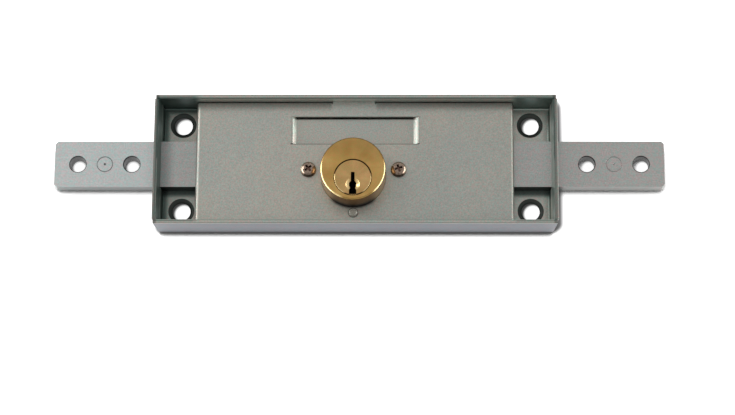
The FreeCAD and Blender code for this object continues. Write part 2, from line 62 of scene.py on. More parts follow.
trayLow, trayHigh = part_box("case_tray")
coverLow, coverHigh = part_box("cover_plate")
housingLow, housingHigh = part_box("cylinder_housing")
plugLow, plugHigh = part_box("cylinder_plug")
postLow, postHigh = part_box("cover_post")
studsLow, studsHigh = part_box("guide_studs")
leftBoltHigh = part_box("left_bolt")[1]
screwLow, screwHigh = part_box("cylinder_screws")
plugAxis = Vector(frame["joints"][0]["pos_m"])
cylinderAxis = Vector(mounts["cylinder_collar"]["pos_m"])
cylinderRadius = (housingHigh.y - housingLow.y) / 2
plugRadius = (plugHigh.x - plugLow.x) / 2
screwRadius = (screwHigh.y - screwLow.y) / 2
screwLine = (screwLow.y + screwHigh.y) / 2
screwPlaces = [screwLow.x + screwRadius, screwHigh.x - screwRadius]
fixing = mounts["fixing_holes"]["dims"]
fixingX, fixingY = fixing["spacing_x_mm"] / 2 * mm, fixing["spacing_y_mm"] / 2 * mm

# rivets in the floor: under the visible post and the three studs that the racks slide along
studFoot = 3.0 * mm
rivets = [((postLow.x + postHigh.x) / 2, (postLow.y + postHigh.y) / 2),
          (studsLow.x + studFoot, studsLow.y + studFoot),
          (studsHigh.x - studFoot, studsHigh.y - studFoot),
          (plugAxis.x, studsHigh.y - studFoot)]


def boltHoles(pattern):
    # the middle between a bolt's two holes, their spacing and their radius
    mount = mounts[pattern]
    return mount["pos_m"][0], mount["dims"]["spacing_x_mm"] * mm, mount["dims"]["hole_r_mm"] * mm


# Selecting and adding

hair = 0.01 * mm     # lengths closer than this count as equal


def mode(name):
    bpy.ops.object.mode_set(mode=name)


def selectMesh(action="SELECT"):
    bpy.ops.mesh.select_all(action=action)


def letGo():
    if bpy.context.object and bpy.context.object.mode != "OBJECT":
        mode("OBJECT")
    bpy.ops.object.select_all(action="DESELECT")


def hold(piece):
    letGo()
    piece.select_set(True)
    bpy.context.view_layer.objects.active = piece


def holdMesh(piece):
    hold(piece)
    mode("EDIT")
    selectMesh()


def named(name):
    # the primitive just added, with its place and size put into its mesh
    piece = bpy.context.object
    piece.name = piece.data.name = name
    hold(piece)
    bpy.ops.object.transform_apply(location=True, rotation=True, scale=True)
    return piece


def addBlock(name, low, high):
    letGo()
    low, high = Vector(low), Vector(high)
    bpy.ops.mesh.primitive_cube_add(size=1, location=(low + high) / 2, scale=high - low)
    return named(name)


def addSheet(name, low, high, z):
    letGo()
    middle = ((low[0] + high[0]) / 2, (low[1] + high[1]) / 2, z)
    bpy.ops.mesh.primitive_plane_add(size=1, location=middle)
    bpy.context.object.scale = (high[0] - low[0], high[1] - low[1], 1)
    return named(name)


def addRod(name, axis, bottom, top, radius, sides=96):
    letGo()
    bpy.ops.mesh.primitive_cylinder_add(vertices=sides, radius=radius, depth=top - bottom,
                                        location=(axis[0], axis[1], (bottom + top) / 2))
    return named(name)


def addCone(name, axis, bottom, top, bottomRadius, topRadius, sides=96):
    letGo()
    bpy.ops.mesh.primitive_cone_add(vertices=sides, radius1=bottomRadius, radius2=topRadius,
                                    depth=top - bottom, location=(axis[0], axis[1], (bottom + top) / 2))
    return named(name)


def addRing(name, axis, z, radius, wire, sides):
    letGo()
    bpy.ops.mesh.primitive_torus_add(major_segments=sides, minor_segments=12, major_radius=radius,
                                     minor_radius=wire, location=(axis[0], axis[1], z))
    return named(name)


def pick(piece, kind, rows, wanted):
    # leaves the piece in edit mode with the wanted faces, edges or points selected
    hold(piece)
    mode("EDIT")
    bpy.ops.mesh.select_mode(type=kind)
    selectMesh("DESELECT")
    mode("OBJECT")
    for row in rows:
        row.select = wanted(row)
    mode("EDIT")


def pickFaces(piece, wanted):
    pick(piece, "FACE", piece.data.polygons, lambda face: wanted(face.center, face.normal))


def pickEdges(piece, wanted):
    points = piece.data.vertices
    pick(piece, "EDGE", piece.data.edges, lambda edge: wanted(*[points[end].co for end in edge.vertices]))


def pickPoints(piece, wanted):
    pick(piece, "VERT", piece.data.vertices, lambda point: wanted(point.co))


def pull(x, y, z):
    bpy.ops.mesh.extrude_region_move(TRANSFORM_OT_translate={"value": (x, y, z)})


def moved(x, y, z):
    bpy.ops.transform.translate(value=(x, y, z))
    mode("OBJECT")


def nearly(a, b):
    return abs(a - b) < hair


def both(a, b, axis, value):
    return nearly(a[axis], value) and nearly(b[axis], value)


def bevelled(offset, segments, profile=0.5):
    bpy.ops.mesh.bevel(offset=offset, offset_type="OFFSET", segments=segments, profile=profile,
                       affect="EDGES")


def folded(radius, steps):
    # rounds the picked corners of a bare surface
    bevelled(radius, steps)
    selectMesh()
    bpy.ops.mesh.remove_doubles(threshold=hair)


def thickened(piece, sheet):
    applied(piece, "SOLIDIFY", thickness=sheet, offset=-1, use_even_offset=True, use_quality_normals=True)


def roundedTop(piece, top, offset, segments, profile):
    pickEdges(piece, lambda a, b: both(a, b, 2, top))
    bevelled(offset, segments, profile)
    mode("OBJECT")


# Cutting and finishing

def applied(piece, kind, **settings):
    hold(piece)
    modifier = piece.modifiers.new(kind.title(), kind)
    for key, value in settings.items():
        setattr(modifier, key, value)
    bpy.ops.object.modifier_apply(modifier=modifier.name)


def combined(piece, others, operation):
    for other in others:
        applied(piece, "BOOLEAN", object=other, operation=operation, solver="EXACT")
        bpy.data.objects.remove(other, do_unlink=True)


def cutAway(piece, *cutters):
    combined(piece, cutters, "DIFFERENCE")


def weldOn(piece, *others):
    combined(piece, others, "UNION")


def merged(piece):
    # the whole mesh in edit mode, without double points
    holdMesh(piece)
    bpy.ops.mesh.remove_doubles(threshold=0.2 * hair)


def turnedOut(piece):
    merged(piece)
    bpy.ops.mesh.normals_make_consistent(inside=False)
    mode("OBJECT")


def softened(piece, width, sharpest=32, crisp=False):
    merged(piece)
    mode("OBJECT")
    applied(piece, "BEVEL", width=width, segments=2, limit_method="ANGLE",
            angle_limit=math.radians(sharpest), use_clamp_overlap=True, miter_outer="MITER_ARC")
    if crisp:
        # edges too short to be rounded stay sharp, so that they don't shade the faces beside them
        holdMesh(piece)
        bpy.ops.mesh.dissolve_degenerate(threshold=0.1 * hair)
        selectMesh("DESELECT")
        bpy.ops.mesh.edges_select_sharp(sharpness=math.radians(50))
        bpy.ops.mesh.mark_sharp()
    hold(piece)
    bpy.ops.object.shade_smooth()
    applied(piece, "WEIGHTED_NORMAL", keep_sharp=crisp, weight=80)


def settled(piece, body, slotName, *nodes):
    letGo()
    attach(piece, body)
    if nodes:
        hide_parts(*nodes)
    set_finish(piece, slotName)
    return piece


# Folded tray

tray = {
    "sheet": 1.5 * mm,
    "bend": 2.2 * mm,
    "bendSteps": 12,
    "endLean": math.radians(6),
    "seamGap": 0.1 * mm,
    "cornerStep": 0.4 * mm,
    "windowGap": 0.25 * mm,
    "fixingLand": 0.5 * mm,
    "fixingRadius": fixing["hole_r_mm"] * mm,
    "sinkRadius": 5.2 * mm,
    "edgeWear": 0.16 * mm,
    "rivetTail": 1.6 * mm,
    "rivetFlare": 2.4 * mm,
    "rivetFlareDepth": 0.8 * mm,
    "rivetDepth": 1.2 * mm,
    "journalRadius": 3.05 * mm,
    "tabGap": 0.1 * mm,
    "tabWidth": 16.4 * mm,
    "cutPast": 0.5 * mm,
}


def countersink(place):
    land, past, wide = tray["fixingLand"], tray["cutPast"], tray["sinkRadius"]
    slope = (wide - tray["fixingRadius"]) / (tray["sheet"] - land)
    return [addRod("hole", place, -mm, land + hair, tray["fixingRadius"]),
            addCone("sink", place, land, tray["sheet"] + past, tray["fixingRadius"], wide + slope * past)]


def foldTray():
    # the bare tray, and half the length of its flat floor
    halfX, halfY, height = trayHigh
    bend, lean = tray["bend"], tray["endLean"]
    out = height * math.tan(lean)
    # where a leaning wall's fold starts, from the corner that it rounds off
    run = bend * math.tan(math.pi / 4 - lean / 2)
    webX, webY = halfX - out - run, halfY - bend
    piece = addSheet("caseTray", (-webX, -webY), (webX, webY), 0)
    pickFaces(piece, lambda centre, normal: True)
    bpy.ops.mesh.flip_normals()
    for side in (-1, 1):
        pickEdges(piece, lambda a, b: both(a, b, 0, side * webX) and both(a, b, 2, 0)
                  and max(abs(a.y), abs(b.y)) < webY + 10 * hair)
        pull(side * run, 0, 0)
        pull(side * out, 0, height)
        pickEdges(piece, lambda a, b: both(a, b, 1, side * webY) and both(a, b, 2, 0)
                  and max(abs(a.x), abs(b.x)) < webX + 10 * hair)
        pull(0, side * bend, 0)
        pull(0, 0, height)
    for axis, far, offset in ((0, halfX - out, run), (1, halfY, bend)):
        pickEdges(piece, lambda a, b: both(a, b, 2, 0)
                  and (both(a, b, axis, far) or both(a, b, axis, -far)))
        folded(offset, tray["bendSteps"])
    # each long wall runs on past its corners, with ends that slant as the end walls lean
    longEnd = halfX - tray["cornerStep"]
    foldEnd = longEnd - (height - bend) * math.tan(lean)
    endReach = halfY - tray["sheet"] - tray["seamGap"]
    foldTop = run * math.cos(lean)
    for side in (-1, 1):
        for end in (-1, 1):
            pickEdges(piece, lambda a, b: both(a, b, 0, end * webX)
                      and min(side * a.y, side * b.y) > webY - hair)
            pull(end * (foldEnd - webX), 0, 0)
            pickPoints(piece, lambda p: nearly(p.x, end * foldEnd) and nearly(p.z, height)
                       and nearly(p.y, side * halfY))
            moved(end * (longEnd - foldEnd), 0, 0)
            pickEdges(piece, lambda a, b: both(a, b, 1, end * webY) and min(side * a.x, side * b.x) > webX
                      and min(a.z, b.z) > foldTop - hair)
            pull(0, end * (endReach - webY), 0)
    mode("OBJECT")
    turnedOut(piece)
    thickened(piece, tray["sheet"])
    # the leaning walls' inner rim edges come down level with the outer ones
    pickPoints(piece, lambda p: p.z > height + 5 * hair)
    moved(0, 0, -tray["sheet"] * math.sin(lean))
    return piece, webX


def makeTray():
    piece, webX = foldTray()
    halfX, halfY = trayHigh.x, trayHigh.y
    sheet, gap, past = tray["sheet"], tray["tabGap"], tray["cutPast"]
    cutters = []
    for x in (-fixingX, fixingX):
        for y in (-fixingY, fixingY):
            cutters += countersink((x, y))
    windowY, windowTop = leftBoltHigh.y + tray["windowGap"], leftBoltHigh.z + tray["windowGap"]
    for side in (-1, 1):
        inner, outer = sorted((side * (webX - sheet), side * (halfX + mm)))
        cutters.append(addBlock("window", (inner, -windowY, sheet), (outer, windowY, windowTop)))
    tabHalf = tray["tabWidth"] / 2 + gap
    tabUnder = coverHigh.z - cover["sheet"] - gap
    cutters.append(addBlock("tabSlot", (plugAxis.x - tabHalf, halfY - sheet - mm, tabUnder),
                            (plugAxis.x + tabHalf, halfY + mm, coverHigh.z + gap)))
    cutters.append(addRod("journalHole", plugAxis, -mm, sheet + mm, tray["journalRadius"]))
    cutAway(piece, *cutters)
    for place in rivets:
        cutAway(piece,
                addCone("flare", place, -past, tray["rivetFlareDepth"], tray["rivetFlare"] + past,
                        tray["rivetTail"], 64),
                addRod("tail", place, 0, tray["rivetDepth"], tray["rivetTail"], 64))
    softened(piece, tray["edgeWear"])
    return settled(piece, "case", "zinc_sheet", "case_tray")


# Recessed cover

cover = {
    "sheet": 1.2 * mm,
    "bend": 1.6 * mm,
    "bendSteps": 8,
    "tabNick": 0.5 * mm,
    "nickDepth": 0.25 * mm,
    "bridgeLow": 7.35 * mm,
    "bridgeHigh": 18.45 * mm,
    "bridgeMiddle": -0.4 * mm,
    "bridgeFlat": 45.7 * mm,
    "leftRamp": 1.9 * mm,
    "rightRamp": 2.4 * mm,
    "rampSteps": 8,
    "rampCurve": 2.0,
    "bridgeDrop": 1.6 * mm,
    "slit": 0.2 * mm,
    "openSlit": 0.65 * mm,
    "rampGap": 0.04 * mm,
    "cylinderGap": 0.1 * mm,
    "screwHole": 2.2 * mm,
    "postHole": 1.55 * mm,
    "windowGap": 0.25 * mm,
    "edgeWear": 0.1 * mm,
}


def bridgeEnds():
    # where the pressed strip's flat part starts and ends, and where its ramps do
    low, high = [cover["bridgeMiddle"] + side * cover["bridgeFlat"] / 2 for side in (-1, 1)]
    return low, high, low - cover["leftRamp"], high + cover["rightRamp"]


def slicedAt(piece, axis, values, wanted):
    across = [0, 0, 0]
    across[axis] = 1
    for value in values:
        pickFaces(piece, wanted)
        bpy.ops.mesh.bisect(plane_co=[value * share for share in across], plane_no=across,
                            threshold=0.1 * hair)
    mode("OBJECT")


def pressStrip(piece, webLow, webHigh):
    # the strip pressed down above the cylinder, with a ramp at each end:
    # the ramps are as wide as the opening, and the strip between them leaves a slit above it
    low, high = cover["bridgeLow"], cover["bridgeHigh"]
    stripLow, stripHigh, rampTop = low + cover["slit"], high - cover["openSlit"], high - cover["rampGap"]
    flatLow, flatHigh, rampLow, rampHigh = bridgeEnds()
    steps = cover["rampSteps"]
    columns = []
    for inner, outer in ((flatLow, rampLow), (flatHigh, rampHigh)):
        columns += [(outer + (inner - outer) * step / steps, step / steps) for step in range(steps + 1)]

    def onTop(centre, normal):
        return normal.z > 0.9 and webLow < centre.x < webHigh

    slicedAt(piece, 1, (low, stripLow, stripHigh, rampTop, high), onTop)
    slicedAt(piece, 0, [x for x, share in columns], onTop)
    pickFaces(piece, lambda c, n: rampLow < c.x < rampHigh
              and (low < c.y < stripLow or rampTop < c.y < high)
              or flatLow < c.x < flatHigh and stripHigh < c.y < high)
    bpy.ops.mesh.delete(type="FACE")
    for x, share in columns:
        pickPoints(piece, lambda p: nearly(p.x, x) and stripLow - hair < p.y < rampTop + hair)
        moved(0, 0, -cover["bridgeDrop"] * share ** cover["rampCurve"])


def makeCover():
    top, bottom = coverHigh.z, coverLow.z
    bend, sheet = cover["bend"], cover["sheet"]
    middle = (coverLow.x + coverHigh.x) / 2
    half = (coverHigh.x - coverLow.x) / 2
    webLow, webHigh = middle - half + bend, middle + half - bend
    edgeY = -coverLow.y
    piece = addSheet("coverPlate", (webLow, -edgeY), (webHigh, edgeY), top)
    pressStrip(piece, webLow, webHigh)
    for side, web in ((-1, webLow), (1, webHigh)):
        pickEdges(piece, lambda a, b: both(a, b, 0, web) and both(a, b, 2, top))
        pull(side * bend, 0, 0)
        pull(0, 0, bottom - top)
    pickEdges(piece, lambda a, b: both(a, b, 2, top)
              and (both(a, b, 0, middle - half) or both(a, b, 0, middle + half)))
    folded(bend, cover["bendSteps"])
    mode("OBJECT")
    thickened(piece, sheet)
    tabHalf = tray["tabWidth"] / 2
    weldOn(piece, addBlock("tab", (plugAxis.x - tabHalf, edgeY - mm, top - sheet),
                           (plugAxis.x + tabHalf, coverHigh.y, top)))
    window, windowTop = leftBoltHigh.y + cover["windowGap"], leftBoltHigh.z + cover["windowGap"]
    under, over, past = top - 3 * mm, top + mm, half + 9 * mm
    holeRadius = cylinderRadius + cover["cylinderGap"]
    cutters = [addBlock("portal", (-past, -window, bottom - mm), (past, window, windowTop)),
               addRod("cylinderHole", cylinderAxis, under, over, holeRadius, 128),
               addRod("postHole", rivets[0], under, over, cover["postHole"])]
    for x in screwPlaces:
        cutters.append(addRod("screwHole", (x, screwLine), under, over, cover["screwHole"], 64))
    for side in (-1, 1):
        nick = sorted((plugAxis.x + side * tabHalf, plugAxis.x + side * (tabHalf + cover["tabNick"])))
        cutters.append(addBlock("nick", (nick[0], edgeY - cover["nickDepth"], under),
                                (nick[1], edgeY + mm, over)))
    cutAway(piece, *cutters)
    softened(piece, cover["edgeWear"])
    return settled(piece, "case", "zinc_sheet", "cover_plate")


# Bolts

bolt = {
    "corner": 1.0 * mm,
    "lap": 11.0 * mm,
    "rackThick": 2.5 * mm,
    "holeChamfer": 0.35 * mm,
    "markRadius": 3.0 * mm,
    "markWidth": 0.2 * mm,
    "markRise": 0.05 * mm,
    "popRadius": 0.35 * mm,
    "popDepth": 0.3 * mm,
    "popPoint": 0.03 * mm,
    "rivetRadius": 1.5 * mm,
    "rivetSpread": 5.0 * mm,
    "edgeWear": 0.14 * mm,
}


def makeBolt(node, pieceName, side, pattern):
    low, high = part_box(node)
    outer, inner = (high.x, low.x) if side > 0 else (low.x, high.x)
    piece = addBlock(pieceName, low, high)
    pickEdges(piece, lambda a, b: both(a, b, 0, outer) and nearly(a.y, b.y))
    bevelled(bolt["corner"], 1)
    mode("OBJECT")
    stepLow, stepHigh = sorted((inner - side * mm, inner + side * bolt["lap"]))
    cutters = [addBlock("step", (stepLow, low.y - mm, high.z - bolt["rackThick"]),
                        (stepHigh, high.y + mm, high.z + mm))]
    middle, pitch, radius = boltHoles(pattern)
    chamfer, pop = bolt["holeChamfer"], bolt["popDepth"]
    for x in (middle - pitch / 2, middle + pitch / 2):
        cutters.append(addRod("hole", (x, 0), low.z - mm, high.z + mm, radius))
        cutters.append(addCone("holeEdge", (x, 0), high.z - chamfer, high.z + chamfer,
                               radius, radius + 2 * chamfer))
    cutters.append(addRing("punchedRing", (middle, 0), high.z + bolt["markRise"], bolt["markRadius"],
                           bolt["markWidth"], 72))
    cutters.append(addCone("pop", (middle, 0), high.z - pop, high.z + pop, bolt["popPoint"],
                           2 * bolt["popRadius"], 24))
    for y in (-bolt["rivetSpread"], bolt["rivetSpread"]):
        cutters.append(addRod("rivetHole", (inner + side * bolt["lap"] / 2, y), low.z - mm, high.z + mm,
                              bolt["rivetRadius"], 48))
    cutAway(piece, *cutters)
    softened(piece, bolt["edgeWear"])
    return settled(piece, node + "_body", "bolt_steel", node)


# Cylinder

cylinder = {
    "rimRound": 0.6 * mm,
    "plugClear": 0.06 * mm,
    "headSeat": 1.55 * mm,
    "pocketRise": 1.2 * mm,
    "pocketRadius": 7.8 * mm,
    "earThick": 1.5 * mm,
    "earRadius": 4.0 * mm,
    "earRoot": 10.0 * mm,
    "screwRadius": 2.0 * mm,
    "edgeWear": 0.08 * mm,
}

pinStacks = {
    "firstDepth": 2.85 * mm,
    "pitch": 2.4 * mm,
    "count": 4,
    "radius": 1.0 * mm,
}


def pinHoles(reach):
    # rods for the pins' chambers, from the plug's axis to a place above it
    rods = []
    for step in range(pinStacks["count"]):
        letGo()
        middle = (plugAxis.x, (plugAxis.y + reach) / 2,
                  housingHigh.z - pinStacks["firstDepth"] - step * pinStacks["pitch"])
        bpy.ops.mesh.primitive_cylinder_add(vertices=48, radius=pinStacks["radius"],
                                            depth=reach - plugAxis.y, location=middle,
                                            rotation=(math.pi / 2, 0, 0))
        rods.append(named("pinHole"))
    return rods


def makeHousing():
    low, top = housingLow.z, housingHigh.z
    piece = addRod("cylinderHousing", cylinderAxis, low, top, cylinderRadius, 192)
    roundedTop(piece, top, cylinder["rimRound"], 3, 0.4)
    earTop = low + cylinder["earThick"]
    ears = []
    for x in screwPlaces:
        ear = addRod("ear", (x, screwLine), low, earTop, cylinder["earRadius"], 64)
        root = addRod("earRoot", cylinderAxis, low, earTop, cylinder["earRoot"], 96)
        hold(ear)
        root.select_set(True)
        bpy.ops.object.join()
        holdMesh(ear)
        bpy.ops.mesh.convex_hull()
        mode("OBJECT")
        ears.append(ear)
    weldOn(piece, *ears)
    clear = cylinder["plugClear"]
    cutters = [
        addRod("plugBore", plugAxis, low - mm, top + mm, plugRadius - plug["headStep"] + clear, 128),
        addRod("headSeat", plugAxis, top - cylinder["headSeat"], top + mm, plugRadius + clear, 128),
        addRod("clipPocket", plugAxis, low - mm, low + cylinder["pocketRise"],
               cylinder["pocketRadius"], 128),
    ]
    for x in screwPlaces:
        cutters.append(addRod("threadHole", (x, screwLine), low - mm, earTop + mm,
                              cylinder["screwRadius"], 64))
    cutAway(piece, *cutters, *pinHoles(cylinderAxis.y + cylinderRadius + mm))
    softened(piece, cylinder["edgeWear"], 50)
    return settled(piece, "case", "cylinder_brass", "cylinder_housing")


# Plug, with its keyway outlined as half widths at places up and down from its axis

plug = {
    "headStep": 0.75 * mm,
    "headThick": 1.5 * mm,
    "rimRound": 0.45 * mm,
    "gapShade": 7.3 * mm,
    "keyway": [(2.1, 0.6), (1.9, 0.7), (-1.3, 0.74), (-2.0, 1.3), (-2.4, 1.45), (-3.3, 1.4), (-4.0, 1.02),
               (-4.4, 1.02), (-4.9, 1.4), (-6.0, 1.42)],
    "keywayLand": 1.6 * mm,
    "tailRadius": 2.1 * mm,
    "tailFlat": 1.5 * mm,
    "tailRoot": 0.5 * mm,
    "threadRadius": 1.0 * mm,
    "threadDepth": 3.0 * mm,
    "dishRadius": 2.75 * mm,
    "dishDepth": 0.9 * mm,
    "dishDrop": 2.9 * mm,
    "grooveLow": 0.25 * mm,
    "grooveHigh": 0.95 * mm,
    "grooveDepth": 0.8 * mm,
    "edgeWear": 0.06 * mm,
}


def keywayCutter(low, high):
    x, y = plugAxis.x, plugAxis.y
    outline = [(rise * mm, half * mm) for rise, half in plug["keyway"]]
    top, half = outline[0]
    below = outline[1][0]
    piece = addSheet("keyway", (x - half, y + below), (x + half, y + top), low)
    lowest = y + below
    pickEdges(piece, lambda a, b: both(a, b, 1, lowest))
    for rise, wide in outline[1:]:
        if y + rise < lowest:
            pull(0, y + rise - lowest, 0)
            lowest = y + rise
        bpy.ops.transform.resize(value=(wide / half, 1, 1), center_override=(x, lowest, low))
        half = wide
    selectMesh()
    pull(0, 0, high - low)
    mode("OBJECT")
    turnedOut(piece)
    return piece


def makePlug():
    x, y = plugAxis.x, plugAxis.y
    top, bottom, rear = plugHigh.z, plugLow.z, housingLow.z
    bodyRadius = plugRadius - plug["headStep"]
    headFloor = top - plug["headThick"]
    piece = addRod("cylinderPlug", plugAxis, rear, top, bodyRadius, 128)
    head = addRod("plugHead", plugAxis, headFloor, top, plugRadius, 160)
    roundedTop(head, top, plug["rimRound"], 4, 0.45)
    tail = addRod("plugTail", plugAxis, bottom, rear + plug["tailRoot"], plug["tailRadius"], 64)
    for side in (-1, 1):
        inner, outer = sorted((side * plug["tailFlat"], side * 3 * mm))
        cutAway(tail, addBlock("flat", (x - 3 * mm, y + inner, bottom - mm),
                               (x + 3 * mm, y + outer, rear + mm)))
    weldOn(piece, head, tail)
    deep = plug["dishDepth"]
    ballRadius = (plug["dishRadius"] ** 2 + deep ** 2) / (2 * deep)
    letGo()
    bpy.ops.mesh.primitive_uv_sphere_add(segments=96, ring_count=96, radius=ballRadius,
                                         location=(x, y - plug["dishDrop"], top - deep + ballRadius))
    dish = named("dish")
    groove = addRod("clipGroove", plugAxis, rear + plug["grooveLow"], rear + plug["grooveHigh"],
                    bodyRadius + mm, 128)
    cutAway(groove, addRod("grooveFloor", plugAxis, rear, rear + 2 * mm,
                           bodyRadius - plug["grooveDepth"], 128))
    foot, footHalf = [value * mm for value in plug["keyway"][-1]]
    cutAway(piece, dish, groove, keywayCutter(rear + plug["keywayLand"], top + mm),
            addBlock("keywayMouth", (x - footHalf, y - plugRadius - mm, headFloor),
                     (x + footHalf, y + foot + hair, top + mm)),
            addRod("tailThread", plugAxis, bottom - mm, bottom + plug["threadDepth"],
                   plug["threadRadius"], 48),
            *pinHoles(y + bodyRadius + mm))
    softened(piece, plug["edgeWear"], 40, crisp=True)
    return settled(piece, "plug", "plug_brass", "cylinder_plug")


# Screws beside the cylinder

screw = {
    "headHigh": 2.2 * mm,
    "crown": 1.95 * mm,
    "crownSteps": 10,
    "shankRadius": 2.0 * mm,
    "shankLap": 0.3 * mm,
    "crossLong": 3.5 * mm,
    "crossWide": 0.9 * mm,
    "crossDeep": 1.4 * mm,
    "crossTaper": (0.5, 0.8, 1),
    "leftTurn": 52,
    "rightTurn": 20,
    "edgeWear": 0.07 * mm,
}


def turned(degrees, centre):
    selectMesh()
    bpy.ops.transform.rotate(value=math.radians(degrees), orient_axis="Z", center_override=centre)


def makeScrews():
    left, right = screwPlaces
    y, top = screwLine, screwHigh.z
    under, floor = top - screw["headHigh"], top - screw["crossDeep"]
    centre = (left, y, floor)
    piece = addRod("leftScrew", centre, under, top, screwRadius, 96)
    roundedTop(piece, top, screw["crown"], screw["crownSteps"], 0.5)
    long, wide = screw["crossLong"] / 2, screw["crossWide"] / 2
    for turn in (0, 90):
        slot = addBlock("cross", (left - long, y - wide, floor), (left + long, y + wide, top + 0.5 * mm))
        pickFaces(slot, lambda centre, normal: normal.z < -0.9)
        bpy.ops.transform.resize(value=screw["crossTaper"], center_override=centre)
        turned(turn + screw["leftTurn"], centre)
        mode("OBJECT")
        cutAway(piece, slot)
    weldOn(piece, addRod("shank", centre, screwLow.z, under + screw["shankLap"], screw["shankRadius"], 48))
    softened(piece, screw["edgeWear"], 40)
    hold(piece)
    bpy.ops.object.duplicate()
    other = bpy.context.object
    other.name = other.data.name = "rightScrew"
    mode("EDIT")
    turned(screw["rightTurn"], centre)
    moved(right - left, 0, 0)
    for each in (piece, other):
        settled(each, "case", "screw_plating", "cylinder_screws")


# Post riveted at the cover's lower edge

post = {
    "guideRadius": 1.9 * mm,
    "collarRadius": 2.2 * mm,
    "neckRadius": 1.55 * mm,
    "headRadius": 1.65 * mm,
    "shelf": 4.0 * mm,
    "collarLow": 6.8 * mm,
    "coverUnder": 8.45 * mm,
    "lap": 0.02 * mm,
    "ring": 1.3 * mm,
    "ringWidth": 0.12 * mm,
    "edgeWear": 0.1 * mm,
}


def makePost():
    sheet, lap, flare = tray["sheet"], post["lap"], tray["rivetFlareDepth"]
    coverTop, top = coverHigh.z, postHigh.z
    piece = addCone("coverPost", rivets[0], 0, flare, tray["rivetFlare"], tray["rivetTail"], 64)
    for name, low, high, radius, sides in (
            ("tail", flare - lap, sheet + lap, tray["rivetTail"], 64),
            ("foot", sheet, post["shelf"], studFoot, 64),
            ("guide", post["shelf"] - lap, post["collarLow"] + lap, post["guideRadius"], 64),
            ("collar", post["collarLow"], post["coverUnder"], post["collarRadius"], 64),
            ("neck", post["coverUnder"] - lap, coverTop + lap, post["neckRadius"], 64),
            ("head", coverTop, top, post["headRadius"], 96)):
        weldOn(piece, addRod(name, rivets[0], low, high, radius, sides))
    cutAway(piece, addRing("headRing", rivets[0], top + lap, post["ring"], post["ringWidth"], 64))
    softened(piece, post["edgeWear"])
    return settled(piece, "case", "inner_steel", "cover_post")


makeTray()
print("tray folded")
makeCover()
print("cover folded")
makeBolt("left_bolt", "leftBolt", -1, "left_bolt_holes")
makeBolt("right_bolt", "rightBolt", 1, "right_bolt_holes")
print("bolts drilled")
makeHousing()
makePlug()
print("cylinder turned")
makeScrews()
makePost()
print("screws and post set")


# Materials

class Signal:
    # wraps one socket, so that sums and products of it can be written as such
    def __init__(self, recipe, socket):
        self.recipe, self.socket = recipe, socket

    def maths(self, operation, *values):
        return self.recipe.add("ShaderNodeMath", {"operation": operation}, dict(enumerate(values)))

    def __add__(self, other):
        return self.maths("ADD", self, other)

    def __sub__(self, other):
        return self.maths("SUBTRACT", self, other)

    def __rsub__(self, other):
        return self.maths("SUBTRACT", other, self)

    def __mul__(self, other):
        return self.maths("MULTIPLY", self, other)

    def __pow__(self, other):
        return self.maths("POWER", self, other)

    def __abs__(self):
        return self.maths("ABSOLUTE", self)

    __radd__ = __add__
    __rmul__ = __mul__

    def least(self, other):
        return self.maths("MINIMUM", self, other)

    def away(self, other):
        # how far off a place is that lies this far one way and that far the other
        return (self * self + other * other) ** 0.5

    def ramp(self, low, high, start=0.0, end=1.0, smooth=False):
        kind = "SMOOTHSTEP" if smooth else "LINEAR"
        return self.recipe.add("ShaderNodeMapRange", {"interpolation_type": kind}, {
            "Value": self, "From Min": low, "From Max": high, "To Min": start, "To Max": end})

    def about(self, place, low, high, *rest):
        # a ramp between two millimetre marks that are counted from a place
        return self.ramp(place + low * mm, place + high * mm, *rest)

    def band(self, low, high, soft):
        return self.ramp(low, low + soft) * self.ramp(high, high - soft)

    def keeping(self, share):
        # 1, but only this share where the mask is 1
        return 1 - self * (1 - share)

    def towards(self, other, mask):
        return self + mask * (other - self)


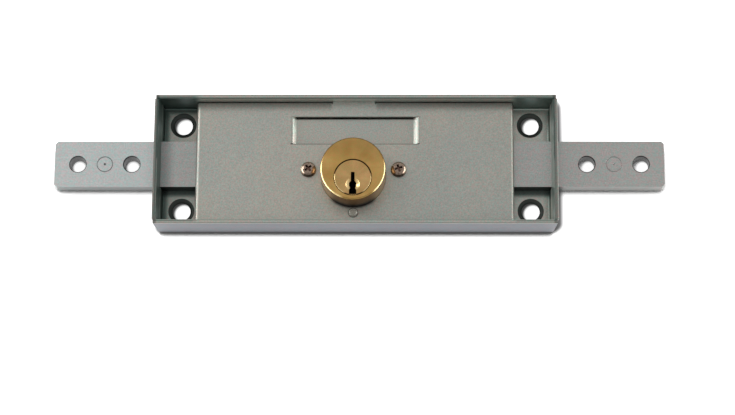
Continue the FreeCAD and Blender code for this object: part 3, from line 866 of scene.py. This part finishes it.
class Recipe:
    # one node tree: a material's or the world's
    def __init__(self, owner):
        owner.use_nodes = True
        self.owner = owner
        self.nodes, self.links = owner.node_tree.nodes, owner.node_tree.links

    def add(self, kind, settings=None, inputs=None, output=0):
        node = self.nodes.new(kind)
        for key, value in (settings or {}).items():
            setattr(node, key, value)
        self.feed(node, inputs or {})
        return Signal(self, node.outputs[output])

    def feed(self, node, inputs):
        for key, value in inputs.items():
            if isinstance(value, Signal):
                self.links.new(value.socket, node.inputs[key])
            else:
                node.inputs[key].default_value = value

    def vector(self, operation, inputs, output=0):
        return self.add("ShaderNodeVectorMath", {"operation": operation}, inputs, output)

    def apart(self, vector, axis):
        return self.add("ShaderNodeSeparateXYZ", {}, {0: vector}, axis)

    def places(self, middle=(0, 0, 0), stretch=(1, 1, 1)):
        # object coordinates about a middle, squeezed by stretch; the Mapping node scales first
        shift = [-m * s for m, s in zip(middle, stretch)]
        coords = self.add("ShaderNodeTexCoord", output="Object")
        return self.add("ShaderNodeMapping", {}, {"Vector": coords, "Location": shift, "Scale": stretch})

    def farFrom(self, axis):
        # distance from an upright axis
        flat = self.vector("MULTIPLY", {0: self.places((axis[0], axis[1], 0)), 1: (1, 1, 0)})
        return self.vector("LENGTH", {0: flat}, "Value")

    def halves(self, pair):
        # the first of two values left of the case's middle, the second right of it
        return self.x.about(0, -1, 1, *pair)

    def noise(self, size, detail, rough, where=None):
        # size is that of one blotch, in metres
        return self.add("ShaderNodeTexNoise", {}, {"Vector": where or self.where, "Scale": 1 / size,
                                                   "Detail": detail, "Roughness": rough}, "Fac")

    def between(self, mask, first, second):
        return self.add("ShaderNodeMix", {"data_type": "RGBA"}, {0: mask, 6: first, 7: second}, 2)

    def shaded(self, colour, lift):
        return self.vector("SCALE", {0: colour, "Scale": lift})

    def speckled(self, first, second):
        return self.between(self.noise(tinge["size"], 3, 0.6).ramp(0.4, 0.6), first, second)

    def tinged(self, colour):
        # the faint reddish and greenish specks of zinc plating
        return self.vector("MULTIPLY", {0: colour, 1: self.speckled(tinge["reddish"], tinge["greenish"])})

    def finished(self, colour, roughness, relief, strength):
        bump = self.add("ShaderNodeBump", {}, {"Strength": strength, "Distance": tinge["relief"],
                                               "Height": relief})
        self.feed(self.shader, {"Base Color": colour, "Roughness": roughness, "Normal": bump})
        return self.owner


def surface(name, metal, middle=(0, 0, 0)):
    # a new material, with the places on its piece counted from a middle
    made = Recipe(bpy.data.materials.new(name))
    made.shader = made.nodes["Principled BSDF"]
    made.feed(made.shader, {"Metallic": metal})
    made.where = made.places(middle)
    made.x, made.y, made.height = [made.apart(made.where, axis) for axis in "XYZ"]
    return made


def tone(red, green, blue):
    # a colour written as 0 to 255, as a picture shows it
    def linear(value):
        value = value / 255
        return value / 12.92 if value <= 0.04045 else ((value + 0.055) / 1.055) ** 2.4
    return (linear(red), linear(green), linear(blue), 1)


tinge = {
    "reddish": (1.13, 0.95, 0.97, 1),
    "greenish": (0.87, 1.05, 1.03, 1),
    "size": 0.8 * mm,
    "relief": 0.02 * mm,
}


zinc = {
    "warm": tone(156, 153, 144),
    "cool": tone(148, 150, 144),
    # painted shade and reflection for the tray's outer walls
    "outer": tone(104, 107, 116),
    "shaded": tone(120, 146, 138),
    "dull": tone(128, 127, 117),
    # painted shade for the countersinks
    "sinkShade": tone(44, 48, 45),
    # painted highlight tone for the cover's ramps
    "highlightTone": tone(226, 234, 226),
    "blotch": 22 * mm,
    "grain": 0.45 * mm,
    "speck": 0.9 * mm,
    "roughness": 0.42,
    "metal": 0.8,
    "outerMix": 0.86,
    "foldMix": 0.3,
    "shine": (0.5, 0.35),    # pairs are for the left and the right half
    "shineCurve": 1.5,
    # from here on shares of the colour that are kept under painted shade, and some strengths of painted light and
    # shade
    "postRing": 0.36,
    "lanceLine": 0.4,
    "slitFace": 0.9,
    "rampTop": 0.82,
    "byCylinder": 0.25,
    "underWall": 0.47,
    "underRightWall": 1.2,
    "coverEdge": 0.9,
    "coverRight": 0.93,
    "rim": 0.95,
    "endRim": 0.5,
    "rightEdge": 0.5,
    "upperRim": 0.8,
    "lowEdge": 0.6,
    "longWall": 0.5,
    "longWallTop": 1.4,
    "wellWall": (0.3, 0.46),
    "endWall": (0.36, 0.8),
    "wallStreak": 1.3,
    "foldedCorner": (0.26, 0.76),
    "openFloor": (0.95, 1.05),
    "floorLight": (1, 1.12),
    "underBoltShade": 0.3,
    "lowerLip": 0.85,
    "upperLip": 0.45,
    "outerTop": 0.77,
}


def toWalls(made):
    # distance to the outside of the leaning end walls and of the long walls
    lean = (made.height - trayHigh.z) * math.tan(tray["endLean"])
    return trayHigh.x - abs(made.x) + lean, trayHigh.y - abs(made.y)


def nearHoles(made):
    # 1 in the four countersinks, where painted shade darkens them
    away = (abs(made.x) - fixingX).away(abs(made.y) - fixingY)
    return away.about(tray["sinkRadius"], 0.3, 0.1) * made.height.about(tray["sheet"], -0.02, -0.12)


def insideShade(made):
    # share of the colour that is kept: painted shade down in the folds and wells, on the inner walls and at the
    # lips, lighter high on the long walls
    y, height, rim = made.y, made.height, trayHigh.z
    toEnd, toSide = toWalls(made)
    toWall = toEnd.least(toSide)
    longWall = height.about(0, 3, 12, zinc["longWall"], zinc["longWallTop"]).towards(1, y.about(0, 1, -1))
    longWall = longWall.towards(made.halves(zinc["wellWall"]), abs(made.x).about(coverHigh.x, -1, 1.5))
    endWall = made.halves(zinc["endWall"])
    # a painted reflection: a lighter streak along the inner end walls
    endWall = endWall * (1 + zinc["wallStreak"] * height.band(5 * mm, 7.4 * mm, 0.8 * mm))
    wall = longWall.towards(endWall, (toEnd - toSide).about(0, 0.3, -0.3))
    floor = made.halves(zinc["foldedCorner"]).towards(made.halves(zinc["openFloor"]),
                                                      toWall.about(0, 2.2, 4.6, 0, 1, True))
    # painted shadow on the floor under the bolts
    floor = floor * y.band(-12.2 * mm, -7 * mm, 1.6 * mm).keeping(zinc["underBoltShade"])
    floor = floor * made.halves(zinc["floorLight"])
    kept = wall.towards(floor, height.about(tray["sheet"], 0.4, 0.15))
    lip = toWall.about(0, 1, 1.2) * height.about(rim, -0.4, -0.2)
    kept = kept.towards(y.about(0, -1, 1, zinc["lowerLip"], zinc["upperLip"]), lip)
    return (toWall.about(0, 0.5, 1.1) * height.about(0, 0.3, 1)).keeping(kept)


def rimShare(made):
    # share of the colour kept on the rims: painted shade, most at the end and upper rims and the outer walls' top
    # edge, and a painted highlight along the right outer edge
    x, y, height = made.x, made.y, made.height
    ends = abs(x).about(trayHigh.x, -1.9, -1.6, 0, zinc["rim"] - zinc["endRim"])
    edge = x.about(trayHigh.x, -0.35, -0.2, 0, zinc["rightEdge"])
    onRim = height.about(trayHigh.z, -0.6, -0.25)
    upper = onRim * y.about(trayHigh.y, -1.9, -1.6)
    lowEdge = y.about(trayLow.y, 0.3, 0.2) * height.about(trayHigh.z, -0.5, -0.3)
    kept = 1 - onRim * (1 - zinc["rim"] + ends - edge)
    return kept * upper.keeping(zinc["upperRim"]) * lowEdge.keeping(zinc["lowEdge"])


def coverShare(made):
    # share of the colour kept on the cover: painted shade round the post, along the strip's slit and cut face,
    # below the cylinder and under the upper wall, a painted light line along the lower edge, and darker towards
    # the right
    x, y = made.x, made.y
    low, high = cover["bridgeLow"], cover["bridgeHigh"]
    flatLow, flatHigh = bridgeEnds()[:2]
    line = y.band(low - 0.32 * mm, low + 0.3 * mm, 0.1 * mm)
    line = line * x.band(flatLow - 2.2 * mm, flatHigh + 2.2 * mm, 0.3 * mm)
    cut = y.band(high - 0.3 * mm, high + 0.04 * mm, 0.06 * mm) * x.band(flatLow, flatHigh, 0.05 * mm)
    cut = cut * made.height.about(coverHigh.z, -0.05, -0.15)
    close = made.farFrom(cylinderAxis).about(cylinderRadius, 1.2, 0.1, 0, 1, True)
    close = close * y.about(cylinderAxis.y, -8.5, -11, 0, 1, True)
    underWall = y.about(coverHigh.y, -6, -1.9, 0, zinc["underWall"], True)
    underWall = underWall * x.about(0, 5, 45, 1, zinc["underRightWall"])
    underWall = underWall * abs(x - plugAxis.x).about(tray["tabWidth"] / 2, 0, 1)
    kept = made.farFrom(rivets[0]).about(0, 1.9, 2.06, zinc["postRing"], 1)
    kept = kept * line.keeping(zinc["lanceLine"]) * cut.keeping(zinc["slitFace"])
    kept = kept * close.keeping(zinc["byCylinder"]) * (1 - underWall)
    kept = kept * (1 + zinc["coverEdge"] * y.about(coverLow.y, 0.2, 0.08))
    return kept * x.about(0, -45, 70, 1, zinc["coverRight"])


def onRamps(made):
    # 1 on the ramps, and how far down them a place is
    x, soft = made.x, 5 * hair
    flatLow, flatHigh, rampLow, rampHigh = bridgeEnds()
    on = x.band(rampLow, flatLow + soft, soft) + x.band(flatHigh - soft, rampHigh, soft)
    down = x.ramp(rampLow, flatLow) * x.about(0, 0, -1) + x.ramp(rampHigh, flatHigh) * x.about(0, -1, 0)
    return on * made.y.band(cover["bridgeLow"], cover["bridgeHigh"], soft), down


def zincSheet(name, isTray):
    made = surface(name, zinc["metal"])
    blotch = made.noise(zinc["blotch"], 3, 0.55)
    grain = made.noise(zinc["grain"], 2, 0.6)
    speck = made.noise(zinc["speck"], 4, 0.7)
    colour = made.between(blotch.ramp(0.35, 0.65), zinc["warm"], zinc["cool"])
    colour = made.between(speck.ramp(0.55, 0.78, 0, 0.5), colour, zinc["dull"])
    kept = grain.ramp(0.25, 0.75, 0.8, 1.2)
    if isTray:
        toEnd, toSide = toWalls(made)
        toWall = toEnd.least(toSide)
        # painted shade and cool reflection on the outer walls
        outside = toWall.about(0, 0.5, 0.15) * made.height.about(0, 13.4, 13)
        colour = made.between(zinc["outerMix"] * outside, colour, zinc["outer"])
        # painted shade inside the tray, in a cool tone in the folds and the shaded inside
        inside = insideShade(made)
        fold = toWall.band(1.1 * mm, 2.2 * mm, 0.3 * mm)
        colour = made.between((zinc["foldMix"] * fold + (1 - inside)).least(0.85), colour, zinc["shaded"])
        # painted shade in the countersinks
        colour = made.between(nearHoles(made), colour, zinc["sinkShade"])
        kept = kept * inside * rimShare(made)
        # painted shade towards the top of the outer walls
        kept = kept * outside.keeping(made.height.about(0, 4, 13, 1, zinc["outerTop"]))
    else:
        ramp, down = onRamps(made)
        # painted highlight down the ramps, stronger on the left, and painted shade at their tops
        shine = made.halves(zinc["shine"]) * ramp * down ** zinc["shineCurve"]
        colour = made.between(shine, colour, zinc["highlightTone"])
        kept = kept * (ramp * (1 - down)).keeping(zinc["rampTop"]) * coverShare(made)
    rough = zinc["roughness"] + 0.14 * (grain - 0.5) + 0.1 * (blotch - 0.5)
    return made.finished(made.shaded(made.tinged(colour), kept), rough, grain + 0.5 * speck, 0.18)


steel = {
    # painted light for the left bolt's end outside the case
    "light": tone(170, 174, 173),
    "plain": tone(150, 150, 147),
    "bright": tone(214, 216, 214),
    "dark": tone(84, 84, 84),
    "streakLong": 9 * mm,
    "streakFine": 0.5 * mm,
    "grain": 0.45 * mm,
    "fleck": 0.55 * mm,
    "roughness": 0.38,
    "metal": 0.8,
    "mark": (1, 0.4),        # pairs are for the left and the right bolt
    "ringMix": 0.75,
    # shares of the colour that are kept under painted shade
    "side": (0.42, 0.72),
    "byLeftWall": 0.58,
    "insideCase": 0.12,
    "hole": 0.12,
}


def boltSteel():
    made = surface("boltSteel", steel["metal"])
    x, y = made.x, made.y
    along = made.places(stretch=(steel["streakFine"] / steel["streakLong"], 1, 1))
    streak = made.noise(steel["streakFine"], 3, 0.6, along)
    grain = made.noise(steel["grain"], 2, 0.6)
    fleck = made.noise(steel["fleck"], 1, 0.5)
    # painted light: the left bolt turns lighter past the case's left end
    colour = made.between(x.about(trayLow.x, 12, -6, 0, 1, True), steel["plain"], steel["light"])
    colour = made.between(fleck.ramp(0.74, 0.8, 0, 0.7), colour, steel["bright"])
    leftMiddle, pitch, radius = boltHoles("left_bolt_holes")
    across = abs(abs(x) - made.halves((-leftMiddle, boltHoles("right_bolt_holes")[0])))
    fromMark, fromHole = across.away(y), (across - pitch / 2).away(y)
    wide = bolt["markWidth"]
    ring = fromMark.band(bolt["markRadius"] - wide, bolt["markRadius"] + wide, 0.4 * wide)
    mark = (steel["ringMix"] * ring + fromMark.about(0, 0.55, 0.4)) * made.halves(steel["mark"])
    colour = made.between(mark.least(1.0), colour, steel["dark"])
    # painted shade on the bolts' sides, deepest inside the case, by the left wall and in the holes
    side = abs(y).about(leftBoltHigh.y, -0.12, -0.04) * made.height.about(leftBoltHigh.z, -0.02, -0.16)
    sideShare = made.halves(steel["side"]).towards(steel["insideCase"], abs(x).about(trayHigh.x, 0.2, -0.2))
    byWall = x.about(trayLow.x, 8.4, 3.3, 1, steel["byLeftWall"], True)
    kept = grain.ramp(0.25, 0.75, 0.82, 1.18) * streak.ramp(0.3, 0.75, 1.02, 0.97)
    kept = kept * side.keeping(sideShare) * x.about(trayLow.x, -1, 1.4).keeping(byWall)
    kept = kept * fromHole.about(radius, 0.42, 0.3).keeping(steel["hole"])
    rough = steel["roughness"] + 0.16 * (streak - 0.5) + 0.08 * (grain - 0.5)
    return made.finished(made.tinged(made.shaded(colour, kept)), rough, 0.4 * streak + grain, 0.2)


brass = {
    "face": tone(174, 141, 86),
    "faceDark": tone(152, 117, 62),
    "plug": tone(176, 144, 102),
    "plugDark": tone(156, 124, 80),
    # painted highlight tone for the rims and the dish
    "highlightTone": tone(255, 236, 180),
    "deepDark": tone(30, 24, 17),
    "reddish": tone(184, 132, 84),
    "greenish": tone(158, 146, 84),
    "tint": 0.3,
    # painted reflection and shade tones for the cylinder's side
    "side": tone(139, 91, 4),
    "flank": tone(190, 158, 116),
    "ring": 0.16 * mm,
    "ringSlant": 0.7,
    "grain": 0.3 * mm,
    "blotch": 6 * mm,
    "fan": 0.625,            # counted on a circle of radius 1
    "roughness": 0.34,
    "plugRoughness": 0.3,
    "litRim": 0.5,
    "litPlugRim": 0.35,
    "litDish": 0.3,
    # shares of the colour that are kept under painted shade
    "gap": 0.14,             # where the cylinder's side enters the cover
    "foot": 0.55,
    "aroundPlug": 0.4,
    "darkRim": 0.7,
    "darkPlugRim": 0.2,
    "topShade": 0.8,
    "rightShade": 0.9,
}


def turnedBrass(name, axis, light, dark, roughness):
    # fine turning marks and a faint fan of light round the piece's own axis
    made = surface(name, 1.0, (axis.x, axis.y, 0))
    made.reach = made.farFrom(axis)
    made.onward = made.vector("NORMALIZE", {0: made.vector("MULTIPLY", {0: made.where, 1: (1, 1, 0)})})
    rings = made.add("ShaderNodeTexNoise", {"noise_dimensions": "1D"},
                     {"W": made.reach + brass["ringSlant"] * made.height, "Scale": 1 / brass["ring"],
                      "Detail": 2.0}, "Fac")
    grain = made.noise(brass["grain"], 3, 0.65)
    blotch = made.noise(brass["blotch"], 2, 0.5)
    fan = made.noise(brass["fan"], 4, 0.6, made.onward)
    colour = made.between(blotch.ramp(0.3, 0.7), light, dark)
    colour = made.between(grain.ramp(0.5, 0.75, 0, 0.6), colour, dark)
    colour = made.between(brass["tint"], colour, made.speckled(brass["reddish"], brass["greenish"]))
    colour = made.shaded(colour, rings.ramp(0.2, 0.8, 0.92, 1.08) * fan.ramp(0.3, 0.7, 0.88, 1.12))
    rough = roughness + 0.12 * (grain - 0.5) + 0.1 * (rings - 0.5)
    return made, colour, rough, rings + 0.5 * grain


def litEdge(made, leftEnd, rightStart):
    # 1 on the parts of a rim that catch the side lights, by how far they are turned left or right
    across, soft = made.apart(made.onward, "X"), 0.15
    lower = made.apart(made.onward, "Y").ramp(0.25, 0.0)
    return (across.ramp(leftEnd, leftEnd - soft) + across.ramp(rightStart, rightStart + soft)) * lower


def housingBrass():
    made, colour, rough, relief = turnedBrass(
        "cylinderBrass", cylinderAxis, brass["face"], brass["faceDark"], brass["roughness"])
    height, top = made.height, housingHigh.z
    rim = made.reach.about(cylinderRadius, -0.62, -0.5) * height.about(top, -0.62, -0.5)
    lit = litEdge(made, -0.3, 0.6)
    # painted shade on the rim away from the lamps, and a painted highlight where they catch it
    colour = made.shaded(colour, (rim * (1 - lit)).keeping(brass["darkRim"]))
    colour = made.between(brass["litRim"] * rim * lit, colour, brass["highlightTone"])
    # painted reflection and shade on the cylinder's side: dark brown at its front, light at its flanks
    flank = abs(made.apart(made.onward, "X"))
    side = height.about(top, -0.5, -0.8) * made.reach.about(cylinderRadius, -0.3, -0.1)
    sideColour = made.between(flank.ramp(0.45, 0.8, 0, 1, True), brass["side"], brass["flank"])
    colour = made.between(side, colour, sideColour)
    front = side * flank.ramp(0.72, 0.5)
    # painted shade where the side enters the cover, round the plug, towards the right and towards the top
    kept = (front * height.about(coverHigh.z, 3.4, 1.8)).keeping(brass["gap"])
    kept = kept * (front * height.ramp(top - mm, coverHigh.z + 3 * mm)).keeping(brass["foot"])
    kept = kept * made.farFrom(plugAxis).about(plug["gapShade"], 0.15, 0).keeping(brass["aroundPlug"])
    kept = kept * made.x.about(0, -4, 12, 1, brass["rightShade"])
    kept = kept * made.y.about(0, 1, 11, 1, brass["topShade"], True)
    return made.finished(made.shaded(colour, kept), rough - 0.16 * rim, relief * (1 - rim), 0.16)


def plugBrass():
    made, colour, rough, relief = turnedBrass(
        "plugBrass", plugAxis, brass["plug"], brass["plugDark"], brass["plugRoughness"])
    height, top = made.height, plugHigh.z
    rim = made.reach.about(plugRadius, -0.5, -0.4) * height.about(top, -0.5, -0.4)
    lit = litEdge(made, -0.4, 0.5)
    dish = made.farFrom((plugAxis.x, plugAxis.y - plug["dishDrop"])).about(plug["dishRadius"], 0.05, -0.05)
    dish = dish * height.about(top, -0.03, -0.12) * height.about(top, -1.2, -1)
    dish = dish * abs(made.x).about(0, 1.1, 1.7)
    # painted shade on the plug's rim away from the lamps, and painted highlights on the rim and in the dish
    colour = made.shaded(colour, (rim * (1 - lit)).keeping(brass["darkPlugRim"]))
    shine = brass["litPlugRim"] * rim * lit + brass["litDish"] * dish
    colour = made.between(shine.least(1.0), colour, brass["highlightTone"])
    # darker and rougher deep inside the plug
    inside = height.about(top, -1, -1.5) * made.reach.about(plugRadius - plug["headStep"], 0, -0.2)
    colour = made.between(inside, colour, brass["deepDark"])
    rough = rough + 0.3 * inside - 0.14 * rim - 0.08 * dish
    return made.finished(colour, rough, relief * (1 - rim), 0.22)


plating = {
    "light": tone(146, 128, 114),
    "dark": tone(100, 84, 72),
    # painted shade for the cross recess
    "cross": tone(104, 80, 70),
    "rim": tone(206, 198, 182),
    "rimMix": 0.7,
    "lowShade": 0.4,
    "crownShade": 0.88,
    "grain": 0.5 * mm,
    "roughness": 0.14,
}


def screwPlating():
    made = surface("screwPlating", 1.0)
    grain = made.noise(plating["grain"], 3, 0.6)
    colour = made.between(grain.ramp(0.4, 0.75), plating["light"], plating["dark"])
    along = made.y - screwLine
    away = (abs(made.x - plugAxis.x) - (screwPlaces[1] - plugAxis.x)).away(along)
    # painted shade in the cross recess
    recess = away.about(0, 2.1, 1.9) * made.height.about(screwHigh.z, -0.3, -0.6)
    colour = made.between(recess, colour, plating["cross"])
    # a painted highlight round the heads' rim, with painted shade at their lower side and crown
    rim = away.about(0, 2.35, 2.75, 0, plating["rimMix"]) * along.about(0, -1.6, -0.6)
    colour = made.shaded(colour, along.about(0, -2.7, -1.4, plating["lowShade"], 1, True))
    colour = made.shaded(colour, away.about(0, 1.6, 2.4, plating["crownShade"], 1))
    colour = made.between(rim, colour, plating["rim"])
    rough = plating["roughness"] + 0.15 * (grain - 0.5) + 0.3 * recess
    return made.finished(colour, rough, grain, 0.12)


inner = {
    "light": tone(158, 158, 150),
    "dark": tone(122, 121, 112),
    "oil": tone(96, 90, 78),
    "blotch": 5 * mm,
    "grain": 0.35 * mm,
    "metal": 0.85,
    "roughness": 0.4,
}


def innerSteel():
    made = surface("innerSteel", inner["metal"])
    blotch = made.noise(inner["blotch"], 3, 0.6)
    grain = made.noise(inner["grain"], 2, 0.6)
    colour = made.between(grain.ramp(0.3, 0.75), inner["light"], inner["dark"])
    colour = made.between(blotch.ramp(0.58, 0.8, 0, 0.6), colour, inner["oil"])
    rough = inner["roughness"] + 0.15 * (grain - 0.5) - 0.2 * blotch.ramp(0.58, 0.8)
    return made.finished(colour, rough, grain, 0.15)


spring = {
    "light": tone(146, 147, 146),
    "dark": tone(104, 104, 103),
    "grain": 0.5 * mm,
    "roughness": 0.3,
}


def springSteel():
    made = surface("springSteel", 1.0)
    grain = made.noise(spring["grain"], 3, 0.6)
    colour = made.between(grain.ramp(0.3, 0.75), spring["light"], spring["dark"])
    return made.finished(colour, spring["roughness"] + 0.15 * (grain - 0.5), grain, 0.1)


finishes = {
    "zinc_sheet": zincSheet("zincCover", False),
    "bolt_steel": boltSteel(),
    "cylinder_brass": housingBrass(),
    "plug_brass": plugBrass(),
    "screw_plating": screwPlating(),
    "inner_steel": innerSteel(),
    "spring_steel": springSteel(),
}


def dressed(piece, made):
    piece.data.materials.clear()
    piece.data.materials.append(made)


for piece in [each for each in bpy.data.objects if each.type == "MESH" and "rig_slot" in each]:
    dressed(piece, finishes[piece["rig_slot"]])
dressed(bpy.data.objects["caseTray"], zincSheet("zincTray", True))
for row in frame["record"]["subparts"]:
    node = frame["nodes"][row["node"]]
    if not node.hide_render:
        for place in range(max(1, len(node.material_slots))):
            node.material_slots[place].material = finishes[row["material_slot"]]
print("finishes given")


# Floor, lights and camera

studio = {
    "floorSize": 6.0,
    "floorDrop": 0.02 * mm,
    "floorColour": (0.93, 0.93, 0.93, 1),
    "floorDark": (0.03, 0.03, 0.03, 1),
    "floorRough": 0.9,
    "floorGlow": 0.9,
    "shadeReach": 3.3 * mm,
    "shadeLean": (-0.72, 0.56, 0.36),
    "shadeLow": 0.58,
    "shadeLeast": 0.05,
    "shadeHigh": 0.91,
    "holeShift": (1.0 * mm, -0.8 * mm),
    "holeLit": 2.9 * mm,
    "holeSoft": 1.3 * mm,
    "holeDark": 0.05,
    "boltHoleShift": (0.5 * mm, 0.7 * mm),
    "boltHoleSpread": 1.006,
    "boltHoleLit": 1.7 * mm,
    "caseShift": (3.3 * mm, 1.6 * mm),
    "caseTall": 2.4 * mm,
    "caseRound": 5.0 * mm,
    "caseSoft": 2.4 * mm,
    "caseShade": 0.05,
    "sky": 0.4,
}


def seenDirectly(recipe):
    path = recipe.nodes.new("ShaderNodeLightPath")
    camera, glossy, through = [Signal(recipe, path.outputs[f"Is {kind} Ray"])
                               for kind in ("Camera", "Glossy", "Transmission")]
    return (camera + glossy + through).least(1.0)


def throughHoles(made):
    # how light the floor is seen through the fixing holes, whose edges shade it from the upper left
    shiftX, shiftY = studio["holeShift"]
    away = (abs(made.x - shiftX) - fixingX).away(abs(made.y - shiftY) - fixingY)
    lit = studio["holeLit"]
    return away.ramp(lit + studio["holeSoft"], lit, studio["holeDark"], 1, True)


def throughBolts(made):
    # where the floor under the bolts' holes is lit
    shiftX, shiftY = studio["boltHoleShift"]
    reach = studio["boltHoleLit"]
    lit = 0
    for pattern in ("left_bolt_holes", "right_bolt_holes"):
        middle, pitch = boltHoles(pattern)[:2]
        across = abs(made.x - (shiftX + studio["boltHoleSpread"] * middle)) - pitch / 2
        lit = lit + across.away(made.y - shiftY).ramp(reach + studio["holeSoft"], reach, 0, 1, True)
    return lit


def besideCase(made):
    # how light the floor is beside the case, whose shade falls to the lower right
    shiftX, shiftY = studio["caseShift"]
    corner, halfX, halfY = studio["caseRound"], trayHigh.x, trayHigh.y + studio["caseTall"]
    outX = abs(made.x - shiftX).ramp(halfX - corner, halfX, 0, corner)
    outY = abs(made.y - shiftY).ramp(halfY - corner, halfY, 0, corner)
    return outX.away(outY).ramp(corner - studio["caseSoft"], corner, studio["caseShade"], 1, True)


def makeFloor():
    letGo()
    bpy.ops.mesh.primitive_plane_add(size=studio["floorSize"], location=(0, 0, -studio["floorDrop"]))
    floor = named("floor")
    made = surface("paleFloor", 0.0)
    towardsLight = Vector(studio["shadeLean"]).normalized()
    near = made.add("ShaderNodeAmbientOcclusion", {"samples": 8},
                    {"Distance": studio["shadeReach"], "Normal": towardsLight}, "AO")
    lit = near.ramp(studio["shadeLow"], studio["shadeHigh"], 0, 1, True) * besideCase(made)
    lit = studio["shadeLeast"] + (1 - studio["shadeLeast"]) * lit
    inside = abs(made.x).about(trayHigh.x, -1.6, -2) * abs(made.y).about(trayHigh.y, -0.1, -0.5)
    lit = lit.towards(throughHoles(made), inside)
    lit = lit.towards(1, throughBolts(made))
    seen = seenDirectly(made)
    made.feed(made.shader, {
        "Base Color": made.between(seen * (1 - lit), studio["floorColour"], studio["floorDark"]),
        "Roughness": studio["floorRough"],
        "Specular IOR Level": 0.0,
        "Emission Color": made.between(seen * lit, (0, 0, 0, 1), (1, 1, 1, 1)),
        "Emission Strength": studio["floorGlow"],
    })
    floor.data.materials.append(made.owner)


def makeWorld():
    world = bpy.data.worlds.new("studio")
    bpy.context.scene.world = world
    made = Recipe(world)
    seen = seenDirectly(made)
    strength = seen + (1 - seen) * studio["sky"]
    made.feed(made.nodes["Background"], {"Color": (1, 1, 1, 1), "Strength": strength})


lamps = [
    # name, place, watts, width, height, colour
    ("keyLamp", (-1.0, 0.55, 0.95), 4.0, 0.5, 0.5, (1.0, 0.99, 0.97)),
    ("leftLamp", (-0.85, -0.05, 0.22), 9.0, 1.2, 0.38, (1.0, 1.0, 1.0)),
    ("rightLamp", (0.85, -0.05, 0.22), 8.0, 1.2, 0.38, (1.0, 0.99, 0.97)),
]


def placed(name, data, matrix):
    holder = bpy.data.objects.new(name, data)
    bpy.context.scene.collection.objects.link(holder)
    holder.matrix_world = matrix
    return holder


def makeLamps():
    for name, place, watts, width, height, colour in lamps:
        lamp = bpy.data.lights.new(name, "AREA")
        lamp.energy = watts
        lamp.shape = "RECTANGLE"
        lamp.size, lamp.size_y = width, height
        lamp.color = colour
        aim = (-Vector(place)).to_track_quat("-Z", "Y").to_matrix().to_4x4()
        placed(name, lamp, Matrix.Translation(place) @ aim)


camera = {
    "place": (0.0266377, -0.3219213, 1.0082865),
    "turns": ((0.295, "X"), (0.021, "Y"), (0.0003, "Z")),
    "focal": 2713.65,        # in pixels of a picture 735 wide
    "picture": 735,
    "sensor": 36.0,
}


def makeCamera():
    lens = bpy.data.cameras.new("camera")
    lens.sensor_width = camera["sensor"]
    lens.lens = camera["sensor"] * camera["focal"] / camera["picture"]
    lens.clip_start = 0.01
    view = Matrix.Translation(camera["place"])
    for angle, axis in camera["turns"]:
        view = view @ Matrix.Rotation(angle, 4, axis)
    bpy.context.scene.camera = placed("camera", lens, view)


makeFloor()
makeWorld()
makeLamps()
makeCamera()
bpy.context.scene.view_settings.view_transform = "Standard"
print("studio ready")

bpy.context.view_layer.update()
